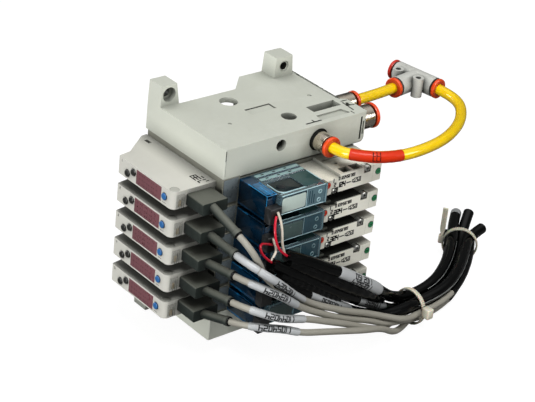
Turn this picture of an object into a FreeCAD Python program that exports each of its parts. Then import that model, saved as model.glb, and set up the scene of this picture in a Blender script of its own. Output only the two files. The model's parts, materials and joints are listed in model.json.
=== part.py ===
import FreeCAD, Part
import math
import os
from FreeCAD import Vector

# Five-station vacuum ejector manifold.
# Stations are stacked downwards between a supply block and an end block, and the stack is bolted
# to a panel through four lugs. Solids are drawn in the stack's corner frame: X from the left face,
# Y from the front plane towards the panel, Z up from the joint under the supply block.
# They are then seated in the part's frame, whose origin is the middle of the lug bolt pattern.

# Stack
STATIONS = 5
PITCH = 16.0
BODY_L = 88.0
RUNNING = 0.15

# Mounting lugs and their bolt pattern
LUG_HOLE_R = 2.25
LUG_SPACING_X = 77.0
LUG_SPACING_Z = 124.0
LUG_LEFT_X = 5.5
LUG_W = 12.0
LUG_TOP_W = 10.2
LUG_DEPTH = 11.0
LUG_RISE = 11.5
PANEL_Y = 66.0

# Supply block and end block
BLOCK_MAIN_L = 92.0
NOSE = 3.0
BLOCK_L = BLOCK_MAIN_L + NOSE
BLOCK_T = 16.5
END_T = 15.5
BACK_Y = 54.5
LIP = 1.4
LIP_T = 2.0
LIP_X = 11.0
COUNTERBORE_R = 4.0
COUNTERBORE_D = 3.5

# Ports: places on the supply block and radii
PORT_Z = 7.8
FRONT_PORT_X = 62.0
SMALL_PORT_Y = 26.6
LARGE_PORT_Y = 8.8
PILOT_PORT_X = 36.5
PILOT_PORT_Z = 10.5
PILOT_PORT_R = 3.2
TUBE_R = 3.0
LARGE_TUBE_R = 4.0
FIT_R = 5.3
LARGE_FIT_R = 6.5
COLLET_R = 5.7
LARGE_COLLET_R = 7.0
COLLET_T = 2.2
COLLET_TRAVEL = 1.0
SOCKET = 10.0
FRONT_REACH = 8.0
SMALL_REACH = 15.7
LARGE_REACH = 9.3

# Vacuum switches on the left face
SWITCH_DEPTH = 26.7
SWITCH_TOP = -3.1
SWITCH_T = 9.8
SWITCH_FRONT = 5.3
SWITCH_BACK = 51.8
WINDOW_Y = (15.0, 36.3)
WINDOW_Z = (-4.1, -12.1)
WINDOW_T = 0.8
KEY_R = 1.9
KEY_LENGTH = 3.4
KEY_PROUD = 0.8
KEY_TRAVEL = 0.6
DOWN_KEY = (43.8, -9.6)
UP_KEY = (38.8, -6.9)
SET_KEY = (12.2, -8.0)
LIGHT_R = 2.5
LIGHT_D = 3.0

# Plugs and strain reliefs
PLUG_X = (-18.2, -2.6)
PLUG_LENGTH = 13.6
PLUG_Z = (-12.0, -5.5)
TONGUE = 4.0
SLEEVE_R = 2.35
SLEEVE_LENGTH = 19.5
SLEEVE_X = -11.5
COLLAR_R = 2.65
COLLAR_LENGTH = 2.2
SLEEVE_AIMS = [(2.2, -18.7, -7.3), (0.7, -18.7, -1.2), (0.9, -18.7, 2.5), (0.8, -18.7, 3.2), (1.3, -18.2, 5.2)]
PLUG_RISES = [0.0, 0.0, 0.0, 0.0, 2.0]

# Front modules
MODULE_TOP = -2.0
PILOT_X = (10.8, 17.4)
PILOT_REACH = 22.0
PILOT_H = 13.8
CASE_X = (17.5, 47.4)
CASE_REACH = 25.6
CASE_H = 10.6
CASE_WALL = 1.2
LEAD_PLUG_X = (10.2, 17.3)
LEAD_PLUG_Z = (-16.0, -7.2)
LEAD_PLUG_L = 5.0
VALVE_X = (CASE_X[1] + 0.8, BODY_L - 5.4)
VALVE_REACH = 22.0
VALVE_H = 10.0
CAP_END_X = BODY_L + 0.7
OVERRIDE_R = 1.65
OVERRIDE_TRAVEL = 0.8
SUPPLY_OVERRIDE = (51.6, -6.4)
RELEASE_OVERRIDE = (BODY_L - 1.7, -6.6)
SCREW_HEAD_R = 1.65
SCREW_R = 0.8
SCREW_BITE = 6.0
HIGH_SCREW = (BODY_L - 9.6, -3.2)
LOW_SCREW = (56.7, -10.9)
HEAD_T = 1.6

# Inside the station bodies
CARTRIDGE_R = 3.0
CARTRIDGE_L = 54.0
CARTRIDGE_Y = 30.0
ROD_R = 2.0
ROD_HEAD_R = 3.5
ROD_HEAD_T = 3.0
RODS = [(53.5, 15.3), (6.0, 34.0), (78.0, 46.0)]
ROD_DEPTH = 8.0

# Tee
TEE_CENTRE = (161.4, 31.4, 7.8)
TEE_YAW = 8.0
TEE_R = 5.6
TEE_HALF_RUN = 13.4
TEE_BRANCH = 17.6
BOSS_R = 3.1
BOSS_HOLE_R = 1.6

# Cords, in the part's own frame
SIGNAL_D = 3.5
SOLENOID_D = 6.4
LEAD_D = 1.3
EXIT_RUN = 6.0
FLOOR = -67.5

SIGNAL_ROUTES = [
    [(-50.6, -102.2, 16.9), (-47.1, -103.7, 10.2), (-43, -101.1, 4.5), (-39, -99, -1),
     (-31.5, -97, -8.5), (-18.5, -96, -20), (-4.5, -96.5, -31), (10, -97.5, -40.5), (25, -97.5, -49),
     (41.5, -95, -54), (58, -90, -57.5), (75, -88, -59), (88, -87, -59), (102, -83.5, -59),
     (117.5, -75, -59), (132, -65, -59), (144.5, -54, -59), (155.5, -41.5, -59)],
    [(-51.6, -106.2, 10.8), (-46.4, -110.5, 6.8), (-38.5, -111.2, 0.5), (-27.5, -109.3, -9.7),
     (-14, -107.5, -19.9), (0.5, -108, -27.2), (15, -107.5, -34.2), (30, -106, -40.8),
     (45, -106.3, -47.8), (60, -107.3, -54.2), (76, -102, -57.5), (90.5, -101, -57.5),
     (107.5, -96, -57.5), (125, -86.5, -57.5), (140.5, -75.5, -57.5), (154, -64, -58),
     (166, -52.5, -58)],
    [(-51.1, -106.2, 1.3), (-45.1, -110.8, -1.6), (-36.5, -112.4, -7), (-22, -110.5, -18.6),
     (-9, -109.5, -26.3), (4.5, -108.5, -33.7), (18.5, -107, -40.2), (32.6, -106.2, -46.2),
     (46.4, -106, -53), (61, -103, -57.3), (75.5, -100.5, -62), (90.5, -99, -62.5), (107, -94.5, -62),
     (124, -85, -62), (139, -74.5, -62), (153, -62.5, -62.5), (164.5, -50.5, -62), (170, -43.5, -62)],
    [(-51.2, -106.1, -13.3), (-45.1, -111, -15.4), (-36.7, -113.3, -19.1), (-20.5, -113, -24.2),
     (-4.5, -112.5, -31.4), (11.5, -111.3, -38.8), (27.3, -109, -47.4), (42.9, -105.1, -55.8),
     (58.8, -98.4, -60.4), (75, -91, -63), (88.5, -90, -63.5), (103, -86, -63), (119, -77.5, -63),
     (133.5, -67, -63), (146.5, -56, -63), (157.5, -44.5, -63), (162.5, -38, -63)],
    [(-50.1, -105.2, -23.4), (-43.6, -110, -24), (-34.3, -112.9, -26.1), (-24, -115, -30.5),
     (-9, -115.5, -34.5), (7, -115.1, -39.5), (23, -113.8, -45), (39.1, -110.2, -51),
     (50.5, -107.8, -58.8), (62.5, -102.2, -63.3), (75.5, -96, -64), (89.5, -94.5, -64),
     (105, -90.5, -64), (121.5, -81.5, -64), (136.5, -71, -64), (149.5, -59.5, -64), (161, -47, -64)],
]

SOLENOID_ROUTES = [
    [(-26.5, -99.5, 8), (-14, -101, 2), (-1, -102, -5.5), (13, -102, -13.5), (25.5, -102, -21.5),
     (37.5, -101, -29.2), (49, -98.1, -38.5), (62, -92.2, -48.3), (75, -90.5, -53),
     (88.5, -89.5, -53.5), (103, -85.5, -53.5), (118.5, -77, -53.5), (133, -66.5, -53.5),
     (146, -55.5, -53.5), (157.5, -44, -53.5), (170, -34, -53.5)],
    [(-37.5, -101, 7), (-26.5, -101.5, -0.2), (-14, -101.6, -7.7), (-1.1, -101.9, -16.8),
     (13.8, -101.4, -26.4), (28.8, -99.8, -35.5), (43.8, -95.3, -44.2), (58.2, -94.7, -54),
     (75.5, -95, -58.5), (89.5, -94, -58.5), (105, -90, -58.5), (121.5, -81, -58.5),
     (136, -70.5, -58.5), (149.5, -59, -58.5), (162, -48, -57), (175, -39.5, -52)],
    [(-33.5, -103.5, -4), (-22.8, -103.7, -11.2), (-11.2, -103.1, -18.2), (2.1, -102.6, -26.9),
     (15.7, -102.1, -35.4), (29.3, -100.9, -43.5), (44.1, -101.1, -49.6), (60, -101.7, -51.3),
     (75.5, -99, -52.5), (90, -98, -52.5), (106.5, -93.5, -52.5), (124, -83.6, -52.5),
     (142, -70.1, -52.6), (154, -60.3, -53), (168.3, -57.4, -52.1)],
]

RED_LEAD = [(-30.7, -93.65, 28.5), (-32.5, -95.2, 25.5), (-33.7, -97.4, 21.2), (-33.3, -98.9, 16.1),
            (-30.8, -99.8, 11.4), (-26.7, -100.43, 8.1)]
WHITE_LEAD = [(-30, -93.7, 30.6), (-28.7, -94.6, 27.3), (-27.8, -95.8, 21.6), (-27.9, -96.7, 16.9),
              (-28, -97.7, 12.3), (-26.75, -98.4, 8.75)]

# Hoses, in the stack's corner frame
LOOP_ROUTE = [(162.5, -4.5, 7.8), (151.5, -18.5, 7.8), (137, -29, 7.8), (120.5, -36, 7.8),
              (104, -38.5, 7.8), (88.5, -37, 7.8), (75.5, -32, 7.8), (66.5, -24.5, 7.8)]

# Cable ties: middle of the band in plan, its heading, and the band's own sizes
TIES = [((75.4, -95.0), 3.0), ((149.2, -58.8), 41.0)]
TIE_BORE_R = 9.6
TIE_BAND = 2.6
TIE_T = 1.1
TIE_HEAD = (4.6, 5.4, 6.0)
TAIL_L = 17.0

PART_ORIGIN = Vector(LUG_LEFT_X + LUG_SPACING_X / 2, PANEL_Y, BLOCK_T + 6.0 - LUG_SPACING_Z / 2)


def box(x, y, z):
    """A box between two values on each axis."""
    low = [min(pair) for pair in (x, y, z)]
    size = [abs(pair[1] - pair[0]) for pair in (x, y, z)]
    return Part.makeBox(*size, Vector(*low))


def rod(start, axis, radius, length):
    """A round bar from a point along an axis."""
    return Part.makeCylinder(radius, length, Vector(*start), Vector(*axis))


def slab(outline, z):
    """A flat plate with a straight-sided outline between two heights."""
    points = [Vector(x, y, min(z)) for x, y in outline]
    face = Part.Face(Part.makePolygon(points + points[:1]))
    return face.extrude(Vector(0, 0, abs(z[1] - z[0])))


def tapered(low, high, z):
    """A block whose rectangle (x0, x1, y0, y1) changes from the lower to the upper height."""
    wires = []
    for (x0, x1, y0, y1), height in ((low, z[0]), (high, z[1])):
        corners = [Vector(x, y, height) for x, y in ((x0, y0), (x1, y0), (x1, y1), (x0, y1))]
        wires.append(Part.makePolygon(corners + corners[:1]))
    return Part.makeLoft(wires, True, True)


def rounded(shape, radius, picked):
    """The shape with the straight edges chosen by a test on their two ends rounded."""
    edges = [edge for edge in shape.Edges
             if len(edge.Vertexes) == 2 and picked(edge.Vertexes[0].Point, edge.Vertexes[1].Point)]
    return shape.makeFillet(radius, edges) if edges else shape


def along(axis, a, b):
    """Whether the edge from a to b runs along one axis, given by its number."""
    gap = [abs(a[i] - b[i]) for i in range(3)]
    return gap[axis] > 1e-6 and sum(gap) - gap[axis] < 1e-6


def near(value, target):
    """Whether two lengths are the same place."""
    return abs(value - target) < 1e-4


def seated(shape):
    """The shape moved from the stack's corner frame to the part's frame."""
    moved = shape.copy()
    moved.translate(PART_ORIGIN.negative())
    return moved


def levels():
    """The height of each station's top, from the first station down."""
    return [-PITCH * index for index in range(STATIONS)]


def stack(shape_at):
    """One solid for each station, as a group."""
    return Part.makeCompound([shape_at(level) for level in levels()])


def plan(length):
    """Outline of a block seen from above, with the slanted step in its back edge."""
    return [(0, 0), (length, 0), (length, 58), (length - 4, PANEL_Y), (60.5, PANEL_Y), (49, BACK_Y),
            (LUG_W, BACK_Y), (LUG_W, PANEL_Y), (0, PANEL_Y)]


def lug_centres():
    """Middle of the left and the right lug along X."""
    return [LUG_LEFT_X, LUG_LEFT_X + LUG_SPACING_X]


def lugs(root, direction):
    """Two drafted lugs that stand on a block's face, up or down."""
    solids = []
    front = PANEL_Y - LUG_DEPTH
    for number, centre in enumerate(lug_centres()):
        wide = (0, LUG_W) if number == 0 else (centre - 6.4, centre + 6.4)
        narrow = (0.4, LUG_TOP_W) if number == 0 else (centre - 5.6, centre + 5.6)
        base = (wide[0], wide[1], front, PANEL_Y)
        tip = (narrow[0], narrow[1], front + 0.4, PANEL_Y)
        solids.append(tapered(base, tip, (root, root + direction * LUG_RISE)))
    return solids


def lug_bores(hole_z):
    """Through holes along Y with a wide counterbore on the left and a shallow one on the right."""
    cuts = []
    front = PANEL_Y - LUG_DEPTH
    for number, centre in enumerate(lug_centres()):
        cuts.append(rod((centre, front - 1, hole_z), (0, 1, 0), LUG_HOLE_R, LUG_DEPTH + 2))
        ring, depth = (COUNTERBORE_R, COUNTERBORE_D) if number == 0 else (3.1, 0.8)
        cuts.append(rod((centre, front - 1, hole_z), (0, 1, 0), ring, depth + 1))
    return cuts


def rod_bores(z, radius):
    """Upright bores for the tie rods between two heights."""
    return [rod((x, y, min(z)), (0, 0, 1), radius, abs(z[1] - z[0])) for x, y in RODS]


def supply_block():
    """Moulded supply block with its ports, pockets, lugs and the open cavity behind the sight hole."""
    body = slab(plan(BLOCK_MAIN_L), (0, BLOCK_T))
    nose = slab([(0.5, 0), (BLOCK_L, 0), (BLOCK_L, 16.5), (BLOCK_MAIN_L, 19), (0.5, 19)], (0, BLOCK_T))
    lip = box((LIP_X, BLOCK_L), (0, LIP_T), (-LIP, 1))
    body = body.fuse([nose, lip] + lugs(BLOCK_T, 1)).removeSplitter()
    body = rounded(body, 3.0, lambda a, b: along(1, a, b) and near(a.x, BLOCK_L) and near(a.z, -LIP))
    body = rounded(body, 0.8, lambda a, b: along(2, a, b) and near(a.x, 0) and near(a.y, 0))
    body = rounded(body, 1.2, lambda a, b: along(2, a, b) and near(a.x, BLOCK_L) and near(a.y, 0))
    cuts = lug_bores(BLOCK_T + 6.0)
    cuts += rod_bores((-1, ROD_DEPTH), ROD_R)
    cuts.append(rod((RODS[0][0], RODS[0][1], ROD_DEPTH - 3), (0, 0, 1), 4.2, BLOCK_T))
    cuts.append(rod((36.2, 44.1, -1), (0, 0, 1), 5.0, BLOCK_T + 2))
    cuts.append(box((27, 48.5), (37.5, BACK_Y + 1), (-1, BLOCK_T - 3)))
    cuts.append(tapered((68.8, 87.2, 13.1, 19.1), (68.5, 87.5, 12.8, 19.4), (BLOCK_T - 6, BLOCK_T + 0.01)))
    cuts.append(box((37.3, 54.0), (26.0, 32.4), (BLOCK_T - 0.45, BLOCK_T + 1)))
    cuts.append(slab([(65.9, 3.6), (86, 3.6), (84, 9), (66.8, 9)], (BLOCK_T - 0.9, BLOCK_T + 1)))
    cuts.append(box((55.4, 65.9), (3.2, 4.1), (BLOCK_T - 1.6, BLOCK_T + 1)))
    cuts.append(box((90.6, 91.2), (20, 54), (BLOCK_T - 0.8, BLOCK_T + 1)))
    cuts.append(slab([(88.6, 10.2), (94.4, 9.4), (94.4, 10.4), (92.2, 11), (92.6, 13.6), (91.2, 13.6)],
                     (BLOCK_T - 1.6, BLOCK_T + 1)))
    cuts.append(box((86.6, 87.4), (1.4, 4.6), (BLOCK_T - 1.2, BLOCK_T + 1)))
    cuts.append(rod((20.5, 22.9, BLOCK_T - 0.4), (0, 0, 1), 1.0, 1))
    cuts.append(rod((79.6, 29.6, BLOCK_T - 0.4), (0, 0, 1), 1.2, 1))
    cuts.append(rod((PILOT_PORT_X, -1, PILOT_PORT_Z), (0, 1, 0), PILOT_PORT_R, 5))
    cuts.append(rod((PILOT_PORT_X, -1, PILOT_PORT_Z), (0, 1, 0), PILOT_PORT_R - 0.9, 13))
    cuts.append(rod((FRONT_PORT_X, -1, PORT_Z), (0, 1, 0), FIT_R + 0.9, 1 + 3))
    cuts.append(rod((FRONT_PORT_X, -1, PORT_Z), (0, 1, 0), FIT_R, 1 + SOCKET))
    cuts.append(rod((BLOCK_MAIN_L + 1, SMALL_PORT_Y, PORT_Z), (-1, 0, 0), FIT_R, 1 + SOCKET))
    cuts.append(rod((BLOCK_L + 1, LARGE_PORT_Y, PORT_Z), (-1, 0, 0), LARGE_FIT_R, 1 + SOCKET))
    cuts.append(box((BLOCK_L - 4.2, BLOCK_L - 3.1), (-1, 2.5), (1.0, 14.2)))
    cuts.append(box((BLOCK_L - 2.5, BLOCK_L - 1.5), (-1, 0.8), (3.6, 11.4)))
    return body.cut(Part.makeCompound(cuts))


def end_block():
    """End block under the last station, with lugs that hang down and bores for the rod heads."""
    top = -PITCH * STATIONS
    bottom = top - END_T
    body = slab(plan(BLOCK_MAIN_L), (bottom, top))
    body = body.fuse(lugs(bottom, -1)).removeSplitter()
    body = rounded(body, 0.8, lambda a, b: along(2, a, b) and near(a.x, 0) and near(a.y, 0))
    cuts = lug_bores(bottom - 6.0)
    cuts += rod_bores((bottom, top), ROD_R)
    cuts += rod_bores((bottom - 1, bottom + ROD_HEAD_T + 0.5), ROD_HEAD_R)
    cuts.append(box((20, 72), (18, 44), (bottom - 1, bottom + 3)))
    return body.cut(Part.makeCompound(cuts))


def station_body(level):
    """One moulded station body with bores for the rods, the cartridge and the valve screws."""
    outline = [(0, 0), (BODY_L, 0), (BODY_L, 60), (62, 60), (50, 51), (LUG_W, 51), (LUG_W, 64), (0, 64)]
    body = slab(outline, (level - PITCH, level))
    cuts = [box((-1, 10.6), (-1, 0.5), (level - PITCH, level - 14.4))]
    cuts.append(box((LIP_X - RUNNING, BODY_L + 1), (-1, LIP_T + RUNNING), (level - LIP - RUNNING, level + 1)))
    cuts += rod_bores((level - PITCH, level), ROD_R)
    cuts.append(rod((BODY_L, CARTRIDGE_Y, level - 8), (-1, 0, 0), CARTRIDGE_R, CARTRIDGE_L))
    for x, z in (HIGH_SCREW, LOW_SCREW):
        cuts.append(rod((x, 0, level + z), (0, 1, 0), SCREW_R, SCREW_BITE + 1))
    return body.cut(Part.makeCompound(cuts))


def cartridge(level):
    """Ejector cartridge: a stepped barrel with a flared through passage."""
    profile = [(1.0, 0), (CARTRIDGE_R, 0), (CARTRIDGE_R, 8), (2.6, 9), (2.6, 12), (CARTRIDGE_R, 13),
               (CARTRIDGE_R, 40), (2.6, 41), (2.6, 46), (CARTRIDGE_R, 47), (CARTRIDGE_R, CARTRIDGE_L),
               (1.9, CARTRIDGE_L)]
    points = [Vector(r, 0, length) for r, length in profile]
    face = Part.Face(Part.makePolygon(points + points[:1]))
    barrel = face.revolve(Vector(0, 0, 0), Vector(0, 0, 1), 360)
    barrel.rotate(Vector(0, 0, 0), Vector(0, 1, 0), 90)
    barrel.translate(Vector(BODY_L - CARTRIDGE_L, CARTRIDGE_Y, level - 8))
    return barrel


def plug_heights(index):
    """Lowest and highest edge of a station's plug."""
    rise = levels()[index] + PLUG_RISES[index % len(PLUG_RISES)]
    return rise + PLUG_Z[0], rise + PLUG_Z[1]


def key_bores(level):
    """Round wells in the display face for the three keys."""
    depth = KEY_LENGTH - KEY_PROUD + KEY_TRAVEL + 0.3
    return [rod((-SWITCH_DEPTH - 1, y, level + z), (1, 0, 0), KEY_R + RUNNING, depth + 1)
            for y, z in (UP_KEY, DOWN_KEY, SET_KEY)]


def switch_housing(index):
    """Digital switch housing with a chamfered back end, a window seat, key wells and a plug socket."""
    level = levels()[index]
    low, high = plug_heights(index)
    top = level + SWITCH_TOP
    bottom = top - SWITCH_T
    outline = [(0, SWITCH_FRONT), (0, 65), (-3.6, 64.6), (-19, 53.0), (-SWITCH_DEPTH, SWITCH_BACK),
               (-SWITCH_DEPTH, SWITCH_FRONT)]
    body = slab(outline, (bottom, top))
    left = -SWITCH_DEPTH
    body = rounded(body, 3.0, lambda a, b: along(2, a, b) and near(a.x, left) and near(a.y, SWITCH_FRONT))
    body = rounded(body, 0.8, lambda a, b: along(2, a, b) and near(a.x, -SWITCH_DEPTH))
    cuts = key_bores(level)
    cuts.append(box((-SWITCH_DEPTH - 1, -SWITCH_DEPTH + WINDOW_T), WINDOW_Y,
                    (level + WINDOW_Z[0], level + WINDOW_Z[1])))
    cuts.append(rod((left + 2.9, SWITCH_FRONT + 2.9, top - LIGHT_D), (0, 0, 1), LIGHT_R, LIGHT_D + 1))
    clear = RUNNING
    cuts.append(box((PLUG_X[0] + 1 - clear, PLUG_X[1] - 1 + clear),
                    (SWITCH_FRONT - 1, SWITCH_FRONT + TONGUE + clear),
                    (low + 1 - clear, high - 1 + clear)))
    cuts.append(box((-5.6, -3.4), (55.5, 59.5), (top - 1.2, top + 1)))
    cuts.append(box((-24.2, -3), (20, 46), (bottom - 1, bottom + 0.6)))
    for step in range(3):
        y = SWITCH_FRONT - 1
        x = -SWITCH_DEPTH + 4.2 + 1.3 * step
        cuts.append(box((x, x + 0.5), (y, SWITCH_FRONT + 0.5), (bottom - 1, top - LIGHT_D - 1)))
    return body.cut(Part.makeCompound(cuts))


def display_lens(level):
    """Display window and the clear light cap on the corner, as two solids."""
    window = box((-SWITCH_DEPTH, -SWITCH_DEPTH + WINDOW_T), WINDOW_Y,
                 (level + WINDOW_Z[0], level + WINDOW_Z[1]))
    top = level + SWITCH_TOP
    cap = rod((-SWITCH_DEPTH + 2.9, SWITCH_FRONT + 2.9, top - LIGHT_D), (0, 0, 1), LIGHT_R, LIGHT_D + 0.25)
    return [window, cap]


def key(level, place):
    """A push key with a domed face that stands a little proud of the display face."""
    y, z = place
    barrel = rod((-SWITCH_DEPTH - KEY_PROUD, y, level + z), (1, 0, 0), KEY_R, KEY_LENGTH)
    rim = [edge for edge in barrel.Edges if near(edge.BoundBox.XMax, -SWITCH_DEPTH - KEY_PROUD)]
    return barrel.makeFillet(0.5, rim)


def sleeve_start(index):
    """Where a strain relief leaves its plug."""
    return Vector(SLEEVE_X, SWITCH_FRONT - PLUG_LENGTH, sum(plug_heights(index)) / 2)


def sleeve_aim(index):
    """Unit direction of a strain relief."""
    return Vector(*SLEEVE_AIMS[index % len(SLEEVE_AIMS)]).normalize()


def switch_plug(index):
    """Plug moulded in one piece with its strain relief and end collar."""
    low, high = plug_heights(index)
    front = SWITCH_FRONT - PLUG_LENGTH
    shell = box(PLUG_X, (front, SWITCH_FRONT), (low, high))
    shell = rounded(shell, 0.7, lambda a, b: along(1, a, b))
    tongue = box((PLUG_X[0] + 1, PLUG_X[1] - 1), (SWITCH_FRONT - 1, SWITCH_FRONT + TONGUE),
                 (low + 1, high - 1))
    start = sleeve_start(index)
    aim = sleeve_aim(index)
    root = start - aim * 2
    sleeve = Part.makeCylinder(SLEEVE_R, SLEEVE_LENGTH + 2, root, aim)
    collar = Part.makeCylinder(COLLAR_R, COLLAR_LENGTH, start + aim * (SLEEVE_LENGTH - COLLAR_LENGTH), aim)
    return shell.fuse([tongue, sleeve, collar]).removeSplitter()


def pilot_housing(level):
    """Blue housing beside the filter case, ribbed on its open side."""
    top = level + MODULE_TOP
    bottom = top - PILOT_H
    body = box(PILOT_X, (-PILOT_REACH, 0), (bottom, top))
    body = rounded(body, 1.0, lambda a, b: along(2, a, b) and near(a.y, -PILOT_REACH))
    groove = (PILOT_X[0] - 1, PILOT_X[0] + 1.2)
    cuts = [box(groove, (-PILOT_REACH + 3, -3), (top - 3.2 * step - 1.6, top - 3.2 * step))
            for step in range(1, 4)]
    cuts.append(box((PILOT_X[0] - 1, PILOT_X[0] + 3.4), (-PILOT_REACH - 1, -9), (top - 1.8, top + 1)))
    return body.cut(Part.makeCompound(cuts))


def filter_case(level):
    """Clear case, open at the back, with a recessed sight panel, two ribs and an end lip."""
    top = level + MODULE_TOP
    bottom = top - CASE_H
    body = box(CASE_X, (-CASE_REACH, 0), (bottom, top))
    front = -CASE_REACH
    body = rounded(body, 1.2, lambda a, b: along(2, a, b) and near(a.y, front) and near(a.x, CASE_X[0]))
    lip = box((CASE_X[1] - 1.4, CASE_X[1] + 0.5), (front - 0.4, front + 4), (bottom - 0.5, top + 0.4))
    ribs = [box((CASE_X[0] + 0.5, CASE_X[1] - 1), (y, y + 2.6), (top, top + 0.5)) for y in (-4.6, -8.6)]
    body = body.fuse([lip] + ribs)
    inside = box((CASE_X[0] + CASE_WALL, CASE_X[1] - CASE_WALL), (-CASE_REACH + CASE_WALL, 1),
                 (bottom + CASE_WALL, top - CASE_WALL))
    panel = box((CASE_X[0] + 1.2, 35.2), (-CASE_REACH + 2.6, -10.6), (top - 0.5, top + 1))
    return body.cut(Part.makeCompound([inside, panel]))


def filter_element(level):
    """Pleated filter element behind the case's front wall."""
    top = level + MODULE_TOP - 2.4
    bottom = level + MODULE_TOP - CASE_H + CASE_WALL
    pleats = 7
    left = CASE_X[0] + 2.0
    step = 2.0
    front = -CASE_REACH + CASE_WALL
    outline = [(left, -10.5), (left, front + 0.8)]
    for number in range(pleats):
        start = left + step * number
        outline += [(start + 0.35 * step, front), (start + 0.65 * step, front), (start + step, front + 0.8)]
    outline.append((left + step * pleats, -10.5))
    return slab(outline, (bottom, top))


def lead_plug(level):
    """Black two-way connector on the front of the pilot housing."""
    front = -PILOT_REACH - LEAD_PLUG_L
    body = box(LEAD_PLUG_X, (front, -PILOT_REACH), (level + LEAD_PLUG_Z[0], level + LEAD_PLUG_Z[1]))
    return rounded(body, 0.6, lambda a, b: along(0, a, b) and near(a.y, front))


def override_bore(place, level, depth):
    """Round well on the valve's front face for an override."""
    x, z = place
    return rod((x, -VALVE_REACH - 1, level + z), (0, 1, 0), OVERRIDE_R + RUNNING, depth + 1)


def valve_body(level):
    """Pilot valve body with a raised back, two pockets, screw notches and an override well."""
    top = level + MODULE_TOP
    bottom = top - VALVE_H
    body = box(VALVE_X, (-VALVE_REACH, 0), (bottom, top))
    cuts = [box((VALVE_X[0] - 1, 59.5), (-VALVE_REACH - 1, 1), (top - 1.8, top + 1))]
    for x0, x1 in ((62.4, 68.2), (69.6, 75.6)):
        cuts.append(box((x0, x1), (-VALVE_REACH + 1, -VALVE_REACH + 6), (top - 3, top + 1)))
    cuts.append(rod((66.0, -11.0, top - 2), (0, 0, 1), 0.8, 3))
    cuts.append(box((61, 76.5), (-6, -5.2), (top - 0.5, top + 1)))
    notch = (-VALVE_REACH - 1, -VALVE_REACH + 1.8 + HEAD_T)
    x, z = HIGH_SCREW
    cuts.append(box((x - 2.3, x + 2.3), notch, (level + z - 2.2, top + 1)))
    x, z = LOW_SCREW
    cuts.append(box((x - 2.3, x + 2.3), notch, (bottom - 1, level + z + 2.2)))
    for x, z in (HIGH_SCREW, LOW_SCREW):
        cuts.append(rod((x, -VALVE_REACH, level + z), (0, 1, 0), SCREW_R, VALVE_REACH + 1))
    cuts.append(override_bore(SUPPLY_OVERRIDE, level, 5.2))
    return body.cut(Part.makeCompound(cuts))


def valve_cap(level):
    """End cap of the valve with the well of the release override."""
    top = level + MODULE_TOP
    body = box((VALVE_X[1], CAP_END_X), (-VALVE_REACH, 0), (top - VALVE_H, top))
    body = rounded(body, 0.8, lambda a, b: along(2, a, b) and near(a.x, CAP_END_X))
    return body.cut(override_bore(RELEASE_OVERRIDE, level, 5.2))


def override(level, place):
    """Slotted manual override, a little proud of the valve's face."""
    x, z = place
    proud = 0.3
    pin = rod((x, -VALVE_REACH - proud, level + z), (0, 1, 0), OVERRIDE_R, 3.8)
    middle = level + z
    slot = box((x - 1.1, x + 1.1), (-VALVE_REACH - 1, -VALVE_REACH + 0.4), (middle - 0.25, middle + 0.25))
    return pin.cut(slot)


def valve_screw(level, place):
    """Cross-head screw that holds the valve on its station body."""
    x, z = place
    head_y = -VALVE_REACH + 1.8
    head = rod((x, head_y, level + z), (0, 1, 0), SCREW_HEAD_R, HEAD_T)
    shank = rod((x, head_y + 0.5, level + z), (0, 1, 0), SCREW_R, SCREW_BITE - head_y - 0.5)
    cross = [box((x - 1.0, x + 1.0), (head_y - 1, head_y + 0.7), (level + z - 0.2, level + z + 0.2)),
             box((x - 0.2, x + 0.2), (head_y - 1, head_y + 0.7), (level + z - 1.0, level + z + 1.0))]
    return head.fuse(shank).cut(Part.makeCompound(cross))


def tie_rod(x, y):
    """Tie rod from its head in the end block to its thread in the supply block."""
    bottom = -PITCH * STATIONS - END_T + 0.5
    head = rod((x, y, bottom), (0, 0, 1), ROD_HEAD_R, ROD_HEAD_T)
    shank = rod((x, y, bottom), (0, 0, 1), ROD_R, ROD_DEPTH - bottom - 0.5)
    return head.fuse(shank).removeSplitter()


def fitting(origin, axis, radius, tube, reach, collet_bore):
    """Push-in fitting body from the bottom of its socket to its mouth, open right through."""
    start = Vector(*origin) - Vector(*axis) * SOCKET
    body = Part.makeCylinder(radius, SOCKET + reach, start, Vector(*axis))
    passage = Part.makeCylinder(tube - 1.0, SOCKET + reach + 1, start, Vector(*axis))
    foot = Vector(*origin) + Vector(*axis) * (reach - 6.0)
    seat = Part.makeCylinder(collet_bore + RUNNING, 7.0, foot, Vector(*axis))
    return body.cut(passage.fuse(seat))


def collet(mouth, axis, flange, tube, bore):
    """Release collet: a flange that stands off the mouth by its travel, and a skirt in the seat."""
    direction = Vector(*axis)
    outer = Part.makeCylinder(flange, COLLET_T, mouth + direction * COLLET_TRAVEL, direction)
    edge = [e for e in outer.Edges if e.Curve.TypeId == "Part::GeomCircle"]
    outer = outer.makeFillet(0.7, edge)
    skirt = Part.makeCylinder(bore, 4.6, mouth - direction * 3.2, direction)
    hole = Part.makeCylinder(tube + 0.1, 20, mouth - direction * 8, direction)
    return outer.fuse(skirt).cut(hole)


def ports():
    """Origin on the wall, outward axis, body radius, tube radius, reach and collet radii of each fitting."""
    small = TUBE_R + 0.9
    large = LARGE_TUBE_R + 1.0
    return {
        "front": ((FRONT_PORT_X, 0, PORT_Z), (0, -1, 0), FIT_R, TUBE_R, FRONT_REACH, COLLET_R, small),
        "small": ((BLOCK_MAIN_L, SMALL_PORT_Y, PORT_Z), (1, 0, 0), FIT_R, TUBE_R, SMALL_REACH,
                  COLLET_R, small),
        "large": ((BLOCK_L, LARGE_PORT_Y, PORT_Z), (1, 0, 0), LARGE_FIT_R, LARGE_TUBE_R, LARGE_REACH,
                  LARGE_COLLET_R, large),
    }


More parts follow.
